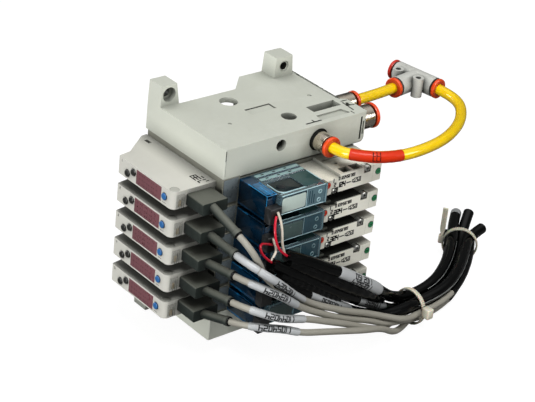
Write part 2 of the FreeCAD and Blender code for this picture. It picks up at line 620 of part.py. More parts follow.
def port_mouth(name):
    """The outer face of a fitting body."""
    origin, axis, _, _, reach, _, _ = ports()[name]
    return Vector(*origin) + Vector(*axis) * reach


def tee_axes():
    """Branch, front run and rear run directions of the tee."""
    yaw = math.radians(TEE_YAW)
    branch = Vector(-math.cos(yaw), -math.sin(yaw), 0)
    front = Vector(math.sin(yaw), -math.cos(yaw), 0)
    return branch, front, front.negative()


def tee_mouths():
    """The outer face of each tee leg."""
    centre = Vector(*TEE_CENTRE)
    branch, front, rear = tee_axes()
    return {"branch": (centre + branch * TEE_BRANCH, branch),
            "front": (centre + front * TEE_HALF_RUN, front),
            "rear": (centre + rear * TEE_HALF_RUN, rear)}


def tee_body():
    """Union tee with three collet seats and two upright mounting bosses."""
    centre = Vector(*TEE_CENTRE)
    branch, front, rear = tee_axes()
    bore = TUBE_R + 0.9
    run = Part.makeCylinder(TEE_R, 2 * TEE_HALF_RUN, centre + rear * TEE_HALF_RUN, front)
    leg = Part.makeCylinder(TEE_R, TEE_BRANCH, centre, branch)
    bosses = [centre + branch * 8.2 + side * 7.2 - Vector(0, 0, 5.4) for side in (front, rear)]
    body = run.fuse([leg] + [Part.makeCylinder(BOSS_R, 11.2, foot) for foot in bosses])
    webs = []
    for side in (front, rear):
        web = Part.makeBox(8.2, 7.2, 4.0, Vector(-8.2, 0, -2.0))
        web.rotate(Vector(0, 0, 0), Vector(0, 0, 1), TEE_YAW)
        if side == front:
            web.translate(front * 7.2)
        web.translate(centre)
        webs.append(web)
    body = body.fuse(webs).removeSplitter()
    cuts = [Part.makeCylinder(BOSS_HOLE_R, 13, foot - Vector(0, 0, 1)) for foot in bosses]
    far = centre + rear * (TEE_HALF_RUN + 1)
    cuts.append(Part.makeCylinder(TUBE_R - 1.0, 2 * TEE_HALF_RUN + 2, far, front))
    cuts.append(Part.makeCylinder(TUBE_R - 1.0, TEE_BRANCH + 1, centre, branch))
    for mouth, axis in tee_mouths().values():
        cuts.append(Part.makeCylinder(bore + RUNNING, 7.0, mouth - axis * 6.0, axis))
    return body.cut(Part.makeCompound(cuts))


def path(points):
    """Straight runs joined by tangent arcs, with the smallest arc radius."""
    nodes = [Vector(*point) for point in points]
    edges = []
    last = nodes[0]
    smallest = math.inf
    for before, corner, after in zip(nodes, nodes[1:], nodes[2:]):
        into = (corner - before).normalize()
        out = (after - corner).normalize()
        half = into.getAngle(out) / 2
        set_back = 0.45 * min((corner - before).Length, (after - corner).Length)
        smallest = min(smallest, set_back / math.tan(half))
        first = corner - into * set_back
        second = corner + out * set_back
        bisector = (out - into).normalize()
        radius = set_back / math.tan(half)
        middle = corner + bisector * (radius / math.cos(half) - radius)
        edges.append(Part.LineSegment(last, first).toShape())
        edges.append(Part.Arc(first, middle, second).toShape())
        last = second
    edges.append(Part.LineSegment(last, nodes[-1]).toShape())
    return Part.Wire(edges), smallest


def cord(name, points, diameter):
    """A plain round tube along a route, reported with its length, tightest arc and volume."""
    wire, smallest = path(points)
    start = Vector(*points[0])
    aim = Vector(*points[1]) - start
    ring = Part.Wire(Part.makeCircle(diameter / 2, start, aim))
    tube = wire.makePipeShell([ring], True, True)
    expected = math.pi * diameter ** 2 / 4 * wire.Length
    ratio = tube.Volume / expected
    print(f"{name}: length {wire.Length:.1f}, tightest arc {smallest:.1f}, volume ratio {ratio:.4f}")
    return tube


def signal_cable(index):
    """Grey cable from the end of its strain relief to the cut end of the harness."""
    exit_point = sleeve_start(index) + sleeve_aim(index) * SLEEVE_LENGTH - PART_ORIGIN
    second = exit_point + sleeve_aim(index) * EXIT_RUN
    points = [tuple(exit_point), tuple(second)] + SIGNAL_ROUTES[index % len(SIGNAL_ROUTES)]
    return cord(f"signal_cable_{index + 1}", points, SIGNAL_D)


def cable_tie(number):
    """Closed band round the harness with its ratchet head, and a cut tail on the second one."""
    (x, y), heading = TIES[number]
    middle = TIE_BORE_R + TIE_T
    band = rod((-TIE_BAND / 2, 0, middle), (1, 0, 0), TIE_BORE_R + TIE_T, TIE_BAND)
    long, wide, tall = TIE_HEAD
    side = -1 if number == 0 else 1
    head_y = side * (TIE_BORE_R + TIE_T + wide / 2 - 0.8)
    low = middle - 1
    band = band.fuse(box((-long / 2, long / 2), (head_y - wide / 2, head_y + wide / 2), (low, low + tall)))
    if number == 1:
        tail = box((-TIE_BAND / 2, TIE_BAND / 2), (head_y - TIE_T / 2, head_y + TIE_T / 2),
                   (low, low + tall + TAIL_L))
        band = band.fuse(tail)
    band = band.cut(rod((-long, 0, middle), (1, 0, 0), TIE_BORE_R, 2 * long))
    band.rotate(Vector(0, 0, 0), Vector(0, 0, 1), heading)
    band.translate(Vector(x, y, FLOOR + 0.05))
    return band


def nodes():
    """Every node of the part by name, in the part's frame."""
    parts = {
        "supply_block": seated(supply_block()),
        "end_block": seated(end_block()),
        "station_bodies": seated(stack(station_body)),
        "ejector_cartridges": seated(stack(cartridge)),
        "switch_housings": seated(Part.makeCompound([switch_housing(index) for index in range(STATIONS)])),
        "display_lenses": seated(Part.makeCompound(sum((display_lens(level) for level in levels()), []))),
        "switch_plugs": seated(Part.makeCompound([switch_plug(index) for index in range(STATIONS)])),
        "pilot_housings": seated(stack(pilot_housing)),
        "filter_cases": seated(stack(filter_case)),
        "filter_elements": seated(stack(filter_element)),
        "lead_plugs": seated(stack(lead_plug)),
        "valve_bodies": seated(stack(valve_body)),
        "valve_end_caps": seated(stack(valve_cap)),
        "tee_body": seated(tee_body()),
    }
    screws = [valve_screw(level, place) for level in levels() for place in (HIGH_SCREW, LOW_SCREW)]
    parts["screws_and_tie_rods"] = seated(Part.makeCompound(screws + [tie_rod(x, y) for x, y in RODS]))
    parts["fitting_bodies"] = seated(Part.makeCompound(
        [fitting(origin, axis, radius, tube, reach, bore)
         for origin, axis, radius, tube, reach, _, bore in ports().values()]))
    for name, (origin, axis, radius, tube, reach, flange, bore) in ports().items():
        parts[f"{name}_collet"] = seated(collet(port_mouth(name), axis, flange, tube, bore))
    for name, (mouth, axis) in tee_mouths().items():
        parts[f"tee_{name}_collet"] = seated(collet(mouth, tuple(axis), COLLET_R, TUBE_R, TUBE_R + 0.9))
    for number, level in enumerate(levels(), start=1):
        parts[f"up_key_{number}"] = seated(key(level, UP_KEY))
        parts[f"down_key_{number}"] = seated(key(level, DOWN_KEY))
        parts[f"set_key_{number}"] = seated(key(level, SET_KEY))
        parts[f"supply_override_{number}"] = seated(override(level, SUPPLY_OVERRIDE))
        parts[f"release_override_{number}"] = seated(override(level, RELEASE_OVERRIDE))
        parts[f"signal_cable_{number}"] = signal_cable(number - 1)
    for number, route in enumerate(SOLENOID_ROUTES, start=1):
        parts[f"solenoid_cable_{number}"] = cord(f"solenoid_cable_{number}", route, SOLENOID_D)
    parts["lead_wire_red"] = cord("lead_wire_red", RED_LEAD, LEAD_D)
    parts["lead_wire_white"] = cord("lead_wire_white", WHITE_LEAD, LEAD_D)
    parts["hose_short"] = seated(hose_short())
    parts["hose_loop"] = seated(hose_loop())
    parts["cable_ties"] = Part.makeCompound([cable_tie(0), cable_tie(1)])
    return parts


def hose_short():
    """Hose between the small fitting and the tee's branch."""
    start = port_mouth("small") - Vector(6, 0, 0)
    mouth, axis = tee_mouths()["branch"]
    middle = [(port_mouth("small") + Vector(9, 0, 0)), (mouth + axis * 9)]
    points = [start] + middle + [mouth - axis * 6]
    return cord("hose_short", [tuple(point) for point in points], 2 * TUBE_R)


def hose_loop():
    """Hose from the tee's front leg round to the front fitting."""
    mouth, axis = tee_mouths()["front"]
    end = port_mouth("front")
    points = [mouth - axis * 6, mouth + axis * 6] + LOOP_ROUTE
    points += [end + Vector(0, -7, 0), end + Vector(0, 6, 0)]
    return cord("hose_loop", [tuple(point) for point in points], 2 * TUBE_R)


def main():
    """Build every node and write it as a STEP file."""
    os.makedirs("parts", exist_ok=True)
    for name, shape in nodes().items():
        if not shape.isValid():
            print("not valid:", name)
        shape.exportStep(f"parts/{name}.step")
        print(name, len(shape.Solids), round(shape.Volume, 1))


main()
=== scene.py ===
"""Dressed model of a five-station vacuum ejector manifold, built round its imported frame.

Sizes are millimetres in the stack's corner frame (X from the left face, Y from the front plane
towards the panel, Z up from the joint under the supply block) and become metres in the part's
frame through `metres`. The harness routes are in the part's own frame already.
"""

from __future__ import annotations

import json
import logging
import math
from dataclasses import dataclass, field, replace
from enum import Enum
from typing import Callable, Iterable, Mapping, Sequence

import bmesh
import bpy
import numpy as np
from mathutils import Matrix, Vector

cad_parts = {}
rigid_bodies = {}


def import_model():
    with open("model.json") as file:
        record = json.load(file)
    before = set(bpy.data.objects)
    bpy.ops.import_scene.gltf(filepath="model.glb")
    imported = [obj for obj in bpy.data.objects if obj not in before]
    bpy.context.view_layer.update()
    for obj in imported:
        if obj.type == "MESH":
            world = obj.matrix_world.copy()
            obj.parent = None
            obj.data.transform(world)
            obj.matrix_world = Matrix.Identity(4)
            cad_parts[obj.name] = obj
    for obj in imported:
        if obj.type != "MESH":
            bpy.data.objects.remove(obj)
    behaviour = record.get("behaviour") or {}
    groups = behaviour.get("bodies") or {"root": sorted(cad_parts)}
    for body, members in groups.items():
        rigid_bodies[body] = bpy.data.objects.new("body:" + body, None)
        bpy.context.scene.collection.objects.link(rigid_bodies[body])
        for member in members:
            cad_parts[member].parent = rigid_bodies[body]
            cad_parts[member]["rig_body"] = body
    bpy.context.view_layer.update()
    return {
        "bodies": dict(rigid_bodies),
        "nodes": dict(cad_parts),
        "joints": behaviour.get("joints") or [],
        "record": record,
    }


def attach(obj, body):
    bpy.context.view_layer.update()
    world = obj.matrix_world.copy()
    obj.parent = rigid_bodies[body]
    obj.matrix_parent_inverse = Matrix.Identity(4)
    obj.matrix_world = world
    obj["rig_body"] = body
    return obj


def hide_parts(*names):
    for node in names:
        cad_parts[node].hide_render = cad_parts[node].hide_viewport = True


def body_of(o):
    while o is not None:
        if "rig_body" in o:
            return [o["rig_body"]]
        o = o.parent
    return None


LOG = logging.getLogger("manifold")
MM = 0.001
# Millimetres: the part frame's zero in the corner frame, the floor's height and the stations' pitch
PART_ORIGIN = np.array([44.0, 66.0, -39.5])
FLOOR_Z = -67.5
STATIONS = 5
PITCH = 16.0
# Height of each station against the first: all of them, the first, the others, or one that is alone
LEVELS = -PITCH * np.arange(STATIONS)
FIRST, REST = LEVELS[:1], LEVELS[1:]
ONCE = (0.0,)
BODY = "manifold"
# Directions that the digits on the cords look to and stand up in
READING_SIDE = np.array([-0.59, -0.65, 0.47])
READING_UP = np.array([0.24, 0.42, 0.88])
# Degrees past which an edge stays sharp
CREASE = 40.0
# Points on the rounded rim of a block
RIM_STEPS = 4
# Degrees past which an edge is rounded
BEVEL_FROM = 32.0
# Metres within which points are joined
MERGE_DISTANCE = 2e-6
# Millimetres that a printed stroke stands off its face
PRINT_LIFT = 0.03
FULL_TURN = 2 * math.pi

Array = np.ndarray
Point = Sequence[float]
Object = bpy.types.Object
Socket = bpy.types.NodeSocket
Placement = Callable[[Array], Array]


class FarEnd(Enum):
    """What is on a cord's far end."""

    BARE = "bare"
    FITTING = "fitting"
    OBJECT = "object"


class Stiffness(Enum):
    """How a cord bends."""

    LIMP = "limp"
    MEDIUM = "medium"


class View(Enum):
    """Face that a drawing lies on: directions of the drawing's own three axes."""

    TOP = ((1, 0, 0), (0, 1, 0), (0, 0, 1))
    FRONT = ((1, 0, 0), (0, 0, 1), (0, -1, 0))
    LEFT = ((0, -1, 0), (0, 0, 1), (-1, 0, 0))

    def at(self, x: float, y: float, z: float) -> Placement:
        """Function from drawing millimetres to part metres, with its zero at a corner-frame point."""
        turn, zero = np.array(self.value, float), np.array([x, y, z])
        return lambda p: metres(zero + p @ turn)


def metres(points: Array | Point) -> Array:
    """Corner-frame millimetres as part-frame metres: (p - origin) / 1000."""
    return (np.asarray(points, float) - PART_ORIGIN) * MM


def linear(rgb: Point) -> tuple[float, float, float, float]:
    """An 8-bit display colour as linear light with full alpha.

    Args:
        rgb: Red, green and blue from 0 to 255.

    Returns:
        Linear values: c/12.92 below the knee, ((c+0.055)/1.055)^2.4 above it.
    """
    c = np.asarray(rgb, float) / 255.0
    return (*np.where(c <= 0.04045, c / 12.92, ((c + 0.055) / 1.055) ** 2.4).tolist(), 1.0)


# Surfaces


@dataclass
class Shell:
    """A mesh gathered from grids of points, each grid one closed or open surface."""

    points: list[Array] = field(default_factory=list)
    faces: list[list[int]] = field(default_factory=list)
    uvs: list[Array] = field(default_factory=list)
    count: int = 0

    def add(self, grid: Array, wrap: bool = False, caps: bool = True, run: Array | None = None) -> "Shell":
        """Add one surface P(u, v) given on a grid of closed rings.

        Faces join (u, v), (u, v+1), (u+1, v+1), (u+1, v), so they look outwards where the rings turn
        right-handed about the direction of u.

        Args:
            grid: Points, shape (rings, points in a ring, 3), in metres.
            wrap: Join the last ring to the first.
            caps: Close the first and last ring of an unwrapped surface with flat faces.
            run: Distance along u of each ring in metres, for the UV map.

        Returns:
            This shell.
        """
        rings, around = grid.shape[:2]
        i, j = np.meshgrid(np.arange(rings if wrap else rings - 1), np.arange(around), indexing="ij")
        i2, j2 = (i + 1) % rings, (j + 1) % around
        quads = np.stack([i * around + j, i * around + j2, i2 * around + j2, i2 * around + j], -1)
        u = np.arange(rings, dtype=float) if run is None else run
        u = np.append(u, u[-1] + (u[-1] - u[-2]))
        v = np.append(0.0, np.cumsum(np.linalg.norm(np.roll(grid[0], -1, 0) - grid[0], axis=1)))
        corners = [np.stack([u[i + a], v[j + b]], -1) for a, b in ((0, 0), (0, 1), (1, 1), (1, 0))]
        self.points.append(grid.reshape(-1, 3))
        self.faces += (quads.reshape(-1, 4) + self.count).tolist()
        self.uvs.append(np.stack(corners, -2).reshape(-1, 2))
        if caps and not wrap:
            for end, loop in ((0, np.arange(around)[::-1]), (rings - 1, np.arange(around))):
                self.faces.append((loop + self.count + end * around).tolist())
                self.uvs.append(np.stack([np.full(around, u[end]), v[loop]], -1))
        self.count += rings * around
        return self

    def piece(self, name: str, finish: "Finish") -> Object:
        """Make the shell a piece that rides on the manifold.

        Args:
            name: The piece's name.
            finish: What it is made of.

        Returns:
            The new piece.
        """
        mesh = bpy.data.meshes.new(name)
        mesh.from_pydata(np.concatenate(self.points).tolist(), [], self.faces)
        layer = mesh.uv_layers.new(name="run")
        layer.data.foreach_set("uv", np.concatenate(self.uvs).astype(np.float32).ravel())
        return settled(mesh, name, finish, BODY, CREASE)


Form = Callable[[Shell, float], Shell]


def settled(mesh: bpy.types.Mesh, name: str, finish: "Finish", body: str, crease: float) -> Object:
    """Shade, dress and seat a finished mesh.

    Args:
        mesh: Mesh in part-frame metres.
        name: The piece's name.
        finish: What it is made of.
        body: CAD body that it rides on.
        crease: Edges sharper than this angle in degrees stay sharp.

    Returns:
        The new object, at the origin, unturned and unscaled.
    """
    mesh.validate()
    mesh.shade_smooth()
    mesh.set_sharp_from_angle(angle=math.radians(crease))
    mesh.materials.clear()
    mesh.materials.append(finish.material())
    piece = bpy.data.objects.new(name, mesh)
    bpy.context.scene.collection.objects.link(piece)
    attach(piece, body)
    LOG.info("piece %s: %d faces", name, len(mesh.polygons))
    return piece


def circle(around: int) -> Array:
    """Points (cos a, sin a) at even angles, shape (around, 2)."""
    angle = np.linspace(0, FULL_TURN, around, endpoint=False)
    return np.stack([np.cos(angle), np.sin(angle)], -1)


def lifted(flat: Array, height: Array) -> Array:
    """Flat points (..., 2) with a third coordinate, which is spread over them."""
    return np.concatenate([flat, np.broadcast_to(height, flat.shape[:-1])[..., None]], -1)


def axes_along(path: Array) -> tuple[Array, Array]:
    """Unit side and rise at each point of a path, as whole arrays.

    The tangent is the central difference. The side is the tangent crossed with the one of the three
    frame axes that the whole path keeps furthest from, and the rise completes the right-handed set.

    Args:
        path: Points along the path, shape (n, 3).

    Returns:
        Two arrays of shape (n, 3): side and rise.
    """
    tangent = np.gradient(path, axis=0)
    tangent /= np.linalg.norm(tangent, axis=1, keepdims=True)
    side = np.cross(tangent, np.eye(3)[np.argmin(np.abs(tangent).max(axis=0))])
    side /= np.linalg.norm(side, axis=1, keepdims=True)
    return side, np.cross(tangent, side)


def distance_along(path: Array) -> Array:
    """Running length of a path: the summed lengths of its steps."""
    return np.append(0.0, np.cumsum(np.linalg.norm(np.diff(path, axis=0), axis=1)))


def read_off(values: Array, run: Array, at: Array) -> Array:
    """Vectors given at the distances `run`, read at the distances `at`."""
    return np.stack([np.interp(at, run, values[:, k]) for k in range(3)], -1)


def part_of(path: Array, start: float, end: float, steps: int) -> Array:
    """Points of a path at even steps between two distances in millimetres."""
    return read_off(path, distance_along(path), np.linspace(start * MM, end * MM, steps))


def tube(path: Array, radius: Array | float, around: int = 24) -> Array:
    """Grid of a round tube: P(u, v) = C(u) + R(u) (cos v side + sin v rise).

    Args:
        path: Centre line C, shape (n, 3).
        radius: One radius or one for each point of the path.
        around: Points in a ring.

    Returns:
        Grid of shape (n, around, 3).
    """
    side, rise = axes_along(path)
    reach = np.broadcast_to(radius, (len(path),))[:, None, None]
    cos, sin = circle(around).T[:, :, None]
    return path[:, None] + reach * (cos * side[:, None] + sin * rise[:, None])


def rounded_rectangle(width: float, height: float, radius: float, corner_steps: int = 5) -> Array:
    """Outline of a rectangle with round corners, counter-clockwise about its middle.

    Each corner is its centre plus the radius times (cos a, sin a) over a quarter turn.

    Args:
        width: Size along the first axis.
        height: Size along the second axis.
        radius: Corner radius.
        corner_steps: Points on each corner.

    Returns:
        Points of shape (4 * corner_steps, 2).
    """
    quarter = np.linspace(0, math.pi / 2, corner_steps)
    angle = np.repeat(np.arange(4) * math.pi / 2, corner_steps) + np.tile(quarter, 4)
    signs = np.array([[1, 1], [-1, 1], [-1, -1], [1, -1]], float).repeat(corner_steps, axis=0)
    middle = signs * np.array([width / 2 - radius, height / 2 - radius])
    return middle + radius * np.stack([np.cos(angle), np.sin(angle)], -1)


def block(size: Point, corner: float, edge: float, place: Placement) -> Array:
    """Grid of a block with round corners and softened rims.

    The rounded rectangle is carried up the third axis. Near each end it draws in by
    edge (1 - cos a) while it rises by edge sin a, which rounds the rim.

    Args:
        size: Width, depth and height in millimetres.
        corner: Radius of the upright corners.
        edge: Radius of the rims.
        place: Turns block millimetres into metres.

    Returns:
        Grid of points in metres.
    """
    width, depth, height = size
    turn = np.linspace(0, math.pi / 2, RIM_STEPS)
    near, far = edge * (1 - np.sin(turn)), edge * (1 - np.cos(turn))
    share = 1 - 2 * np.concatenate([near, far])[:, None, None] / np.array([width, depth])
    rise = np.concatenate([far, height - near])
    return place(lifted(rounded_rectangle(width, depth, corner)[None] * share, rise[:, None]))


# Forms that are stamped at several heights


def pad(view: View, at: Point, size: Point, corner: float, edge: float) -> Form:
    """A block for a face: its zero, size, corner radius and rim radius in millimetres."""
    x, y, z = at
    return lambda shell, level: shell.add(block(size, corner, edge, view.at(x, y, z + level)))


def wire(line: Array | Sequence[Point], radius: float) -> Form:
    """A thin round bar along corner-frame points, radius in millimetres."""
    return lambda shell, level: shell.add(tube(metres(np.asarray(line) + [0, 0, level]), radius * MM, 10))


def rod(start: Point, end: Point, radius: float) -> Form:
    """A thin straight bar between two corner-frame points, radius in millimetres."""
    return wire(np.linspace(start, end, 5), radius)


def turned(view: View, at: Point, radii: Point, heights: Point, around: int = 32, wrap: bool = False,
           caps: bool = True) -> Form:
    """A profile turned about the drawing's third axis: (r cos a, r sin a, h).

    Args:
        view: Face that it stands on.
        at: Its zero in the corner frame.
        radii: Radius of each point of the profile.
        heights: Height of each point of the profile.
        around: Points in a ring.
        wrap: Join the profile's last point to its first.
        caps: Close its two ends.

    Returns:
        The form.
    """
    x, y, z = at
    flat = np.array(radii)[:, None, None] * circle(around)[None]
    points = lifted(flat, np.array(heights, float)[:, None])
    return lambda shell, level: shell.add(view.at(x, y, z + level)(points), wrap, caps)


def drawn(view: View, at: Point, lines: Array | Sequence[Point], width: float,
          lift: float = PRINT_LIFT) -> Form:
    """Printed strokes for a face.

    Args:
        view: Face that they lie on.
        at: Their zero in the corner frame.
        lines: Start and end of each, as four numbers in a row.
        width: Width of a stroke.
        lift: How far they stand off the face.

    Returns:
        The form.
    """
    x, y, z = at
    strokes = np.array(lines, float).reshape(-1, 2, 2)
    return lambda shell, level: add_strokes(shell, strokes, width, lift, view.at(x, y, z + level))


def stamped(name: str, finish: "Finish", heights: Iterable[float], *forms: Form) -> Object:
    """One piece that holds the same forms at every height.

    Args:
        name: The piece's name.
        finish: What it is made of.
        heights: Millimetres that each copy is raised by.
        forms: What is stamped.

    Returns:
        The new piece.
    """
    shell = Shell()
    for level in heights:
        for form in forms:
            form(shell, level)
    return shell.piece(name, finish)


# Markings

# Bars of a seven-bar counter that show each digit: top, upper right, lower right, bottom, lower left,
# upper left and middle.
DIGIT_BARS = ("012345", "12", "01643", "01623", "5612", "05623", "054326", "012", "0123456", "650123")
# Usual drawing of a two-position valve on squares of size 1: two squares, an arrow, a stopped port and
# the pilot's box.
VALVE_SYMBOL = np.array([
    (0, 0, 2, 0), (0, 1, 2, 1), (0, 0, 0, 1), (1, 0, 1, 1), (2, 0, 2, 1), (0.2, 0.1, 0.8, 0.9),
    (1.3, 0.15, 1.3, 0.45), (1.15, 0.45, 1.45, 0.45), (1.7, 0.1, 1.7, 0.9), (-0.5, 0.2, 0, 0.2),
    (-0.5, 0.2, -0.5, 0.8), (-0.5, 0.8, 0, 0.8)]).reshape(-1, 2, 2)


def digit_strokes(text: str, height: float, gap: float = 0.35, wide: float = 0.5) -> Array:
    """Straight strokes of plain digits, drawn on the seven bars of a counter.

    Args:
        text: The digits.
        height: Height of a digit in millimetres.
        gap: Space between digits as a share of the height.
        wide: Width of a digit as a share of the height.

    Returns:
        Strokes of shape (n, 2, 2): start and end of each, in millimetres.
    """
    w, h = wide * height, height
    bars = np.array([[[0, h], [w, h]], [[w, h], [w, h / 2]], [[w, h / 2], [w, 0]], [[0, 0], [w, 0]],
                     [[0, 0], [0, h / 2]], [[0, h / 2], [0, h]], [[0, h / 2], [w, h / 2]]])
    return np.concatenate([
        bars[[int(bar) for bar in DIGIT_BARS[int(digit)]]] + [index * (w + gap * height), 0]
        for index, digit in enumerate(text)])


def add_strokes(shell: Shell, strokes: Array, width: float, thickness: float, place: Placement) -> Shell:
    """Add printed strokes as thin bars whose cross-section is carried from start to end.

    Args:
        shell: Mesh that takes them.
        strokes: Start and end of each, drawing millimetres, shape (n, 2, 2).
        width: Width of a stroke.
        thickness: How far it stands off the surface.
        place: Turns (x, y, height) drawing millimetres into metres.

    Returns:
        The shell.
    """
    share = np.linspace(0, 1, 4)[:, None]
    for start, end in strokes:
        aim = (end - start) / np.linalg.norm(end - start)
        across = np.array([-aim[1], aim[0]])
        line = start - aim * width / 2 + share * (end - start + aim * width)
        flat = line[:, None] + np.array([-0.5, 0.5, 0.5, -0.5])[None, :, None] * width * across
        shell.add(place(lifted(flat, np.array([0.0, 0.0, 1.0, 1.0]) * thickness)))
    return shell


def wrapped(path: Array, radius: float, start: float, turn: float) -> Placement:
    """A placement on a tube: x runs along it, y round it, and the third value off its surface.

    P = C(s) + (R + h) (cos a side + sin a rise), with s = start + x and a = turn - y / R.

    Args:
        path: Centre line in metres.
        radius: Radius of the surface in millimetres.
        start: Distance along the path of x = 0, in millimetres.
        turn: Angle of y = 0 in radians.

    Returns:
        A function from drawing millimetres to part metres.
    """
    run = distance_along(path)
    side, rise = axes_along(path)

    def place(p: Array) -> Array:
        """Points (along, round, off) in millimetres as metres.

        Args:
            p: The points, last axis along, round and off.

        Returns:
            The points in metres.
        """
        angle = (turn - p[..., 1] / radius)[..., None]
        centre, s, r = (read_off(a, run, (start + p[..., 0]) * MM) for a in (path, side, rise))
        return centre + ((radius + p[..., 2]) * MM)[..., None] * (np.cos(angle) * s + np.sin(angle) * r)

    return place


def turn_to(path: Array, at: float, aim: Array) -> tuple[float, Array, Array]:
    """Angle round a path that looks in a direction: atan2(rise . aim, side . aim).

    Args:
        path: Centre line in metres.
        at: Distance along it in millimetres.
        aim: The direction.

    Returns:
        The angle in radians, and the path's side and rise there.
    """
    index = int(np.searchsorted(distance_along(path), at * MM))
    side, rise = (axis[index] for axis in axes_along(path))
    return math.atan2(aim @ rise, aim @ side), side, rise


# Shader graphs and effects that several finishes share


class Graph:
    """Adds nodes and links to one node tree."""

    def __init__(self, tree: bpy.types.NodeTree) -> None:
        """Keep the tree that the nodes go into."""
        self.tree = tree

    @classmethod
    def blank(cls, owner: bpy.types.Material | bpy.types.World) -> "Graph":
        """Start on an emptied node tree.

        Args:
            owner: Material or world that has the tree.

        Returns:
            The tree's graph.
        """
        owner.use_nodes = True
        owner.node_tree.nodes.clear()
        return cls(owner.node_tree)

    def add(self, kind: str, inputs: Mapping[str | int, object] | None = None,
            **settings: object) -> bpy.types.Node:
        """Add a node.

        Args:
            kind: Name of the node type.
            inputs: Value or output socket for each input, by name or number.
            settings: Properties of the node itself.

        Returns:
            The new node.
        """
        node = self.tree.nodes.new(kind)
        for name, value in settings.items():
            setattr(node, name, value)
        for key, value in (inputs or {}).items():
            if isinstance(value, Socket):
                self.tree.links.new(value, node.inputs[key])
            else:
                node.inputs[key].default_value = value
        return node

    def mix(self, factor: object, a: object, b: object, blend: str = "MIX") -> Socket:
        """Mix two colours."""
        return self.add("ShaderNodeMix", {0: factor, 6: a, 7: b}, data_type="RGBA",
                        blend_type=blend).outputs[2]

    def math(self, operation: str, a: object, b: object, clamp: bool = False) -> Socket:
        """One sum."""
        return self.add("ShaderNodeMath", {0: a, 1: b}, operation=operation, use_clamp=clamp).outputs[0]

    def plus(self, a: object, b: object) -> Socket:
        """a + b."""
        return self.math("ADD", a, b)

    def times(self, a: object, b: object, clamp: bool = False) -> Socket:
        """a times b, kept within 0 to 1 where asked."""
        return self.math("MULTIPLY", a, b, clamp)

    def noise(self, at: Socket, scale: object, detail: float, roughness: float = 0.5) -> Socket:
        """Value of a noise from 0 to 1."""
        return self.add("ShaderNodeTexNoise", {"Vector": at, "Scale": scale, "Detail": detail,
                                               "Roughness": roughness}).outputs[0]

    def ramp(self, value: Socket, *limits: float) -> Socket:
        """A value carried from the first two limits to the last two."""
        return self.add("ShaderNodeMapRange", {0: value, **dict(enumerate(limits, start=1))}).outputs[0]

    def bump(self, height: Socket, distance: float, strength: float) -> Socket:
        """Normal of a height."""
        return self.add("ShaderNodeBump", {"Height": height, "Distance": distance,
                                           "Strength": strength}).outputs[0]

    def axis(self, vector: Socket, number: int) -> Socket:
        """One coordinate of a vector."""
        return self.add("ShaderNodeSeparateXYZ", {0: vector}).outputs[number]


Outputs = Mapping[str, Socket]
Fill = Callable[[Graph, Outputs], dict[str, Socket]]
SOCKET_TYPES = {"Vector": "NodeSocketVector", **dict.fromkeys(("Color", "Worn", "Dust"), "NodeSocketColor")}


@dataclass(frozen=True)
class Effect:
    """A shader node group that several finishes share, with the function that fills it."""

    name: str
    labels: tuple[str, ...]
    fill: Fill

    def __call__(self, g: Graph, **values: object) -> Outputs:
        """Place the group with its own values and give its outputs."""
        tree = bpy.data.node_groups.get(self.name) or self.build()
        return g.add("ShaderNodeGroup", values, node_tree=tree).outputs

    def build(self) -> bpy.types.NodeTree:
        """Make the group at its first use.

        Returns:
            The group's tree.
        """
        tree = bpy.data.node_groups.new(self.name, "ShaderNodeTree")
        self.sockets(tree, "INPUT", self.labels)
        g = Graph(tree)
        results = self.fill(g, g.add("NodeGroupInput").outputs)
        self.sockets(tree, "OUTPUT", results)
        g.add("NodeGroupOutput", results)
        return tree

    def sockets(self, tree: bpy.types.NodeTree, side: str, labels: Iterable[str]) -> None:
        """Give a tree its inputs or outputs, each of the type that its label has."""
        for label in labels:
            tree.interface.new_socket(label, in_out=side,
                                      socket_type=SOCKET_TYPES.get(label, "NodeSocketFloat"))


def shared(name: str, *labels: str) -> Callable[[Fill], Effect]:
    """Makes a function that fills a node group with these inputs into the group's effect."""
    return lambda fill: Effect(name, labels, fill)


@shared("mottle", "Vector", "Color", "Scale", "Amount")
def mottle(g: Graph, i: Outputs) -> dict[str, Socket]:
    """Colour that drifts a little lighter and darker over the surface, in large and small patches.

    Args:
        g: The group's graph.
        i: The group's inputs.

    Returns:
        The group's outputs.
    """
    large = g.noise(i["Vector"], i["Scale"], 3.0, 0.55)
    small = g.noise(i["Vector"], g.times(i["Scale"], 9.0), 2.0)
    both = g.plus(g.times(large, 0.7), g.times(small, 0.3))
    swing = g.times(g.math("SUBTRACT", both, 0.5), i["Amount"])
    hue = g.add("ShaderNodeHueSaturation", {"Value": g.plus(g.times(swing, 2.0), 1.0), "Color": i["Color"]})
    return {"Color": hue.outputs[0], "Mask": both}


@shared("grain", "Vector", "Scale")
def grain(g: Graph, i: Outputs) -> dict[str, Socket]:
    """Height of a fine moulded texture: small cells over a finer noise."""
    cells = g.add("ShaderNodeTexVoronoi", {"Vector": i["Vector"], "Scale": i["Scale"]}).outputs[0]
    return {"Height": g.plus(g.times(cells, 0.5), g.noise(i["Vector"], g.times(i["Scale"], 1.7), 2.0))}


@shared("edge_wear", "Vector", "Color", "Worn", "Amount")
def edge_wear(g: Graph, i: Outputs) -> dict[str, Socket]:
    """Paler edges, rubbed wear on most finishes and a painted highlight on the blue housings: the mesh's
    pointiness above a threshold, broken up by noise.

    Args:
        g: The group's graph.
        i: The group's inputs.

    Returns:
        The group's outputs.
    """
    edge = g.ramp(g.add("ShaderNodeNewGeometry").outputs["Pointiness"], 0.52, 0.62, 0.0, 1.0)
    patch = g.ramp(g.noise(i["Vector"], 350.0, 3.0), 0.4, 0.65, 0.2, 1.0)
    return {"Color": g.mix(g.times(g.times(edge, patch), i["Amount"], True), i["Color"], i["Worn"])}


